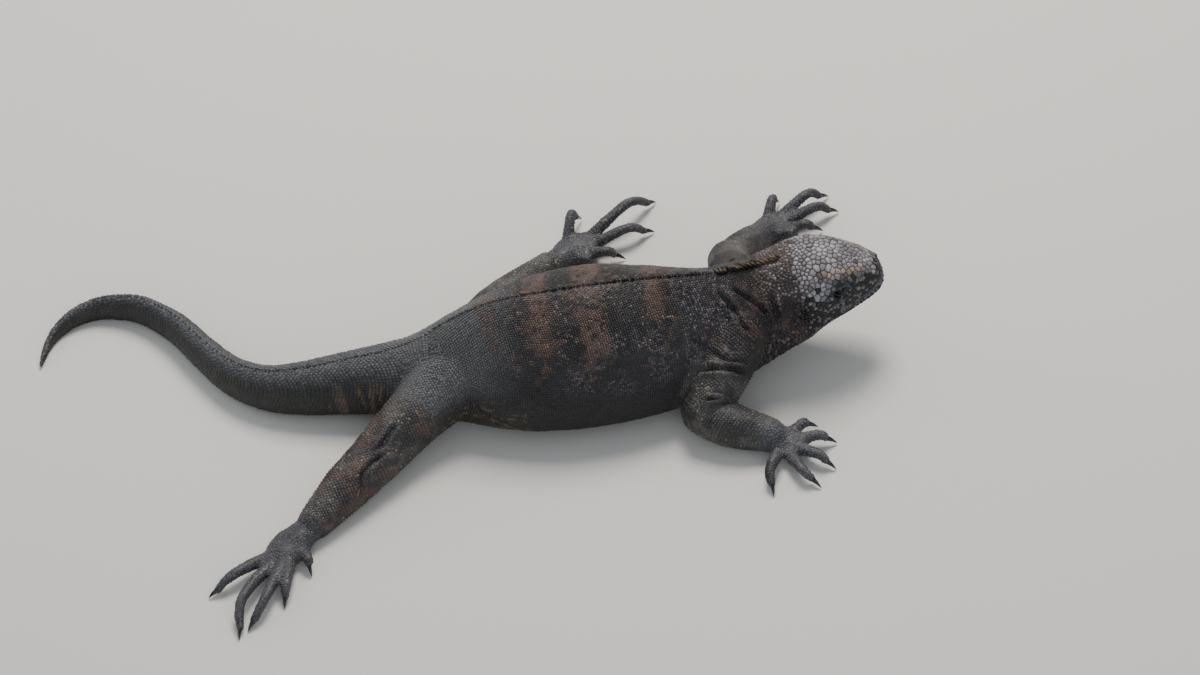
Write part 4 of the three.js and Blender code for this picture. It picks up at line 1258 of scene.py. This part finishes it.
def spineRow(row, seed):
    # the row's points, height shares, random numbers, roots and map places, then its faces
    chance = np.random.default_rng(seed)
    turns = circle(spine["sides"])
    reaches = np.linspace(0, 1, spine["rings"])
    count = int(abs(row["to"] - row["from"]) / row["step"])
    points, shares, dice, roots, uvs, faces = [], [], [], [], [], []
    offset = 0
    for line, index in np.ndindex(row["rows"], count):
        aside = (line - (row["rows"] - 1) / 2) * row["apart"]
        share = (index + 0.5 * (line % 2) + chance.uniform(-0.2, 0.2)) / count
        place = placeOfX([row["from"] + (row["to"] - row["from"]) * share])
        heading = unitOf(ridgePoint(place + 0.05) - ridgePoint(place - 0.05))
        across = unitOf(np.cross([0, 0, 1.0], heading))
        tall = np.interp(share, [0, 0.4, 1], row["tall"]) * chance.uniform(0.8, 1.2)
        tall = tall * (1 - 0.35 * abs(aside) / 2)
        lean = aside * 0.16 + chance.uniform(-0.08, 0.08)
        upward = unitOf(np.cross(heading, across) + across * lean)
        root = spineRoot(place, across, aside)
        outline = np.cos(turns)[:, None] * across * spine["across"] \
            + np.sin(turns)[:, None] * heading * spine["along"]
        rings = [root + upward * tall * reach + heading * tall * row["lean"] * reach ** 1.7
                 + row["wide"] * (1 - reach ** 1.5 * 0.9) * outline for reach in reaches]
        spinePoints, spineFaces = loft(rings)
        points.append(spinePoints)
        shares.append(np.append(np.repeat(reaches, spine["sides"]), [0, 1]))
        dice.append(np.full(len(spinePoints), chance.random()))
        roots.append(plain(root, spinePoints))
        patch = (spinePoints - root) @ np.stack([heading, across], 1) / tall * spine["patch"]
        uvs.append(atlasTrunk(arcOfPlace(place), np.array([math.pi / 2])) + patch)
        faces += [tuple(point + offset for point in face) for face in spineFaces]
        offset += len(spinePoints)
    return [np.concatenate(part) for part in (points, shares, dice, roots, uvs)] + [faces]


def spinePaint(name, roots, shares, dice):
    if name == "crest.nape":
        front = ramp(roots[:, 0], 95, 104) * (0.3 + 0.7 * dice)
        base = mix(plain(tint(spineColours["nape"]), roots), tint(spineColours["napeFront"]), front)
        tips = ramp(shares, 0.45, 0.95) * ramp(dice, 0.1, 0.8)
        return mix(base * 0.6, tint(spineColours["napeTip"]), tips)
    base = markings(roots, plain(np.array([0, 0, 1.0]), roots), dice)
    return mix(base * 0.45, tint(spineColours["tip"]), ramp(shares, 0.2, 1) * (0.3 + 0.6 * dice))


for number, row in enumerate(crestRows):
    rowPoints, rowShares, rowDice, rowRoots, rowUvs, rowFaces = spineRow(row, 100 + number)
    crest = meshObject(row["name"], rowPoints, rowFaces)
    bakeMap(crest, rowUvs, np.concatenate(rowFaces))
    paint(crest, spinePaint(row["name"], rowRoots, rowShares, rowDice))
    placePiece(crest, spineKeratin)
print("crest done")


# Eyes: a dark wet ball with a raised cornea

eyeColours = {"pupil": "#030303", "iris": "#140e0a", "rim": "#080606"}
eyeSides = {"left": 1, "right": -1}


def eyeBall(side):
    out, long, up = eyeAxes(side)
    centre = sidePoint(eye["x"], eye["z"], side) - out * eye["inset"]
    turns = circle(48)
    outline = np.cos(turns)[:, None] * long + np.sin(turns)[:, None] * up
    angles = np.linspace(0.02, 0.98, 40) * math.pi
    rings = []
    for angle in angles:
        bulge = 0.5 * math.exp(-(angle / 0.55) ** 2)
        depth = (eye["radius"] + bulge) * math.cos(angle)
        rings.append(centre + out * depth + eye["radius"] * math.sin(angle) * outline)
    points, faces = loft(rings)
    angles = np.append(np.repeat(angles, len(turns)), [0, math.pi])
    colour = mix(plain(tint(eyeColours["pupil"]), points), tint(eyeColours["iris"]), ramp(angles, 0.34, 0.4))
    return points, faces, mix(colour, tint(eyeColours["rim"]), ramp(angles, 0.72, 0.82))


# tear film over a dark brown iris: sharp small highlights
wetEye, eyeTree, eyeShader = newMaterial("wet eye", {"Roughness": 0.1, "IOR": 1.376, "Coat Weight": 0.1,
                                                     "Specular IOR Level": 0.35, "Coat Roughness": 0.03})
eyePaint = addNode(eyeTree, "ShaderNodeAttribute", {"attribute_name": "hideColour"})
eyeTree.links.new(eyePaint.outputs["Color"], eyeShader.inputs["Base Color"])

for sideName, side in eyeSides.items():
    ballPoints, ballFaces, ballColours = eyeBall(side)
    ball = meshObject("eyeball_" + sideName, ballPoints, ballFaces, smooth=True)
    paint(ball, ballColours)
    placePiece(ball, wetEye, ["eye_" + sideName])
print("eyes done")


# Lids: a ring of blue-grey skin over each ball, round an almond-shaped opening, with rings of small scales

lid = {"long": 3.9, "tall": 2.5, "outLong": 6.2, "outTall": 4.8, "thick": 0.4, "drop": 0.2, "sides": 72,
       "rows": 22, "inner": "#454c55", "outer": "#1b191b", "bead": "#666a72"}
# each ring of lid scales: its share from the opening to the outer edge, and its spacing in mm
lidRings = ((0.16, 0.55), (0.42, 0.75), (0.7, 0.95), (0.95, 1.15))


def lidPoint(side, turns, shares):
    # places at turns round the eye; share 0 is the opening's edge, 1 the outer edge, less than 0 the inside
    out, long, up = eyeAxes(side)
    centre = sidePoint(eye["x"], eye["z"], side) - up * lid["drop"]
    spread = np.clip(shares, 0, 1)
    wide = (lid["long"] + (lid["outLong"] - lid["long"]) * spread) * np.cos(turns)
    tall = (lid["tall"] + (lid["outTall"] - lid["tall"]) * spread) * np.sin(turns)
    tall = tall * (1 + 0.08 * np.cos(turns) ** 2)
    flat = np.minimum(np.hypot(wide, tall), eye["radius"] - 0.3)
    ball = np.sqrt(eye["radius"] ** 2 - flat ** 2) - eye["inset"]
    height = (ball + lid["thick"]) * (1 - spread ** 1.6) - 0.5 * spread ** 1.6
    height = height + 0.16 * np.sin(spread * math.pi * 7) * ramp(spread, 0.05, 0.3)
    height = np.where(shares < 0, ball - 0.35, height)
    return centre + wide[:, None] * long + tall[:, None] * up + height[:, None] * out


def lidMesh(side):
    sides = lid["sides"]
    shares = np.append(-1, np.linspace(0, 1, lid["rows"]))
    points = np.concatenate([lidPoint(side, circle(sides), np.full(sides, share)) for share in shares])
    faces = []
    for row, corner in np.ndindex(lid["rows"], sides):
        a, b = row * sides + corner, row * sides + (corner + 1) % sides
        faces.append((a, b, b + sides, a + sides) if side > 0 else (a, a + sides, b + sides, b))
    level = np.repeat(np.clip(shares, 0, 1), sides)
    colour = mix(plain(tint(lid["inner"]), points), tint(lid["outer"]), ramp(level, 0.1, 0.75))
    return points, faces, colour * (0.75 + 0.5 * noise(points, 0.7, 131))[:, None]


def lidSites(side, chance):
    # rings of scales, larger towards the lid's outer edge
    inner, outer = lid["long"] + lid["tall"], lid["outLong"] + lid["outTall"]
    groups = []
    for share, pitch in lidRings:
        count = int(math.pi * (inner + share * (outer - inner)) / pitch)
        turns = (np.arange(count) + 0.5 * chance.random(count)) / count * 2 * math.pi
        at = lidPoint(side, turns, np.full(count, share))
        beyond = lidPoint(side, turns, np.full(count, share + 0.03))
        groups.append({"at": at, "back": unit(beyond - at), "normal": plain(eyeAxes(side)[0], at),
                       "uv": atlasTrunk(np.full(count, 30.0), turns * 0.05 + (0.6 if side > 0 else 2.4)),
                       "pitch": np.full(count, pitch)})
    return joinSites(groups)


lidSkin = hideMaterial("lid skin", 0.4, 0.6, 0.25, 0.05)  # thin moist skin
for sideName, side in eyeSides.items():
    ringPoints, ringFaces, ringColours = lidMesh(side)
    lids = meshObject("lids_" + sideName, ringPoints, ringFaces, smooth=True)
    paint(lids, ringColours)
    placePiece(lids, lidSkin)
    lidChance = np.random.default_rng(140 + side)
    beads = lidSites(side, lidChance)
    dice = lidChance.random(len(beads["at"]))
    beadColours = mix(plain(tint(lid["outer"]), dice), tint(lid["bead"]), dice * 0.8)
    scales = scaleMesh("lid_scales_" + sideName, beads, "bead", 0.4, beadColours, lidChance)
    placePiece(scales, headHide)
print("lids done")


# Studio: pale floor, soft lights and the camera

floorPaint = newMaterial("pale studio floor", {"Base Color": (*tint("#d3d0ca"), 1), "Roughness": 0.85})[0]
bpy.ops.mesh.primitive_plane_add(size=8, location=(0, 0, -0.0002))
floor = bpy.context.object
floor.name = "floor"
floor.data.materials.append(floorPaint)

world = bpy.data.worlds.new("studio air")
bpy.context.scene.world = world
world.use_nodes = True
air = world.node_tree.nodes["Background"].inputs
air["Color"].default_value = (0.86, 0.92, 1.0, 1)
air["Strength"].default_value = 0.5


def softLight(name, place, size, power, colour):
    # a square lamp turned to the animal's middle
    light = bpy.data.lights.new(name, "AREA")
    light.size = size
    light.energy = power
    light.color = colour
    lamp = bpy.data.objects.new(name, light)
    lamp.location = place
    lamp.rotation_euler = (Vector((0.0, 0.0, 0.04)) - Vector(place)).to_track_quat("-Z", "Y").to_euler()
    bpy.context.scene.collection.objects.link(lamp)


softLight("key light", (0.35, 0.9, 1.5), 0.7, 34, (1.0, 0.96, 0.9))
softLight("fill light", (0.3, -1.6, 0.9), 1.4, 7, (0.9, 0.95, 1.0))
softLight("rim light", (-1.2, 0.8, 0.7), 0.8, 4, (0.92, 0.96, 1.0))

lens = bpy.data.cameras.new("camera")
lens.lens = 110
lens.sensor_width = 36
camera = bpy.data.objects.new("camera", lens)
bpy.context.scene.collection.objects.link(camera)
eyePoint = Vector((85.6, -1497.8, 1598.4)) * mm
aimPoint = Vector((85.6, 30.5, 15.9)) * mm
right = Vector((0.99026807, -0.10011275, -0.09667776))
upward = Vector((0.1391731, 0.71233923, 0.687898))
turn = Matrix((right, upward, (eyePoint - aimPoint).normalized())).transposed()
camera.matrix_world = Matrix.Translation(eyePoint) @ turn.to_4x4()
bpy.context.scene.camera = camera
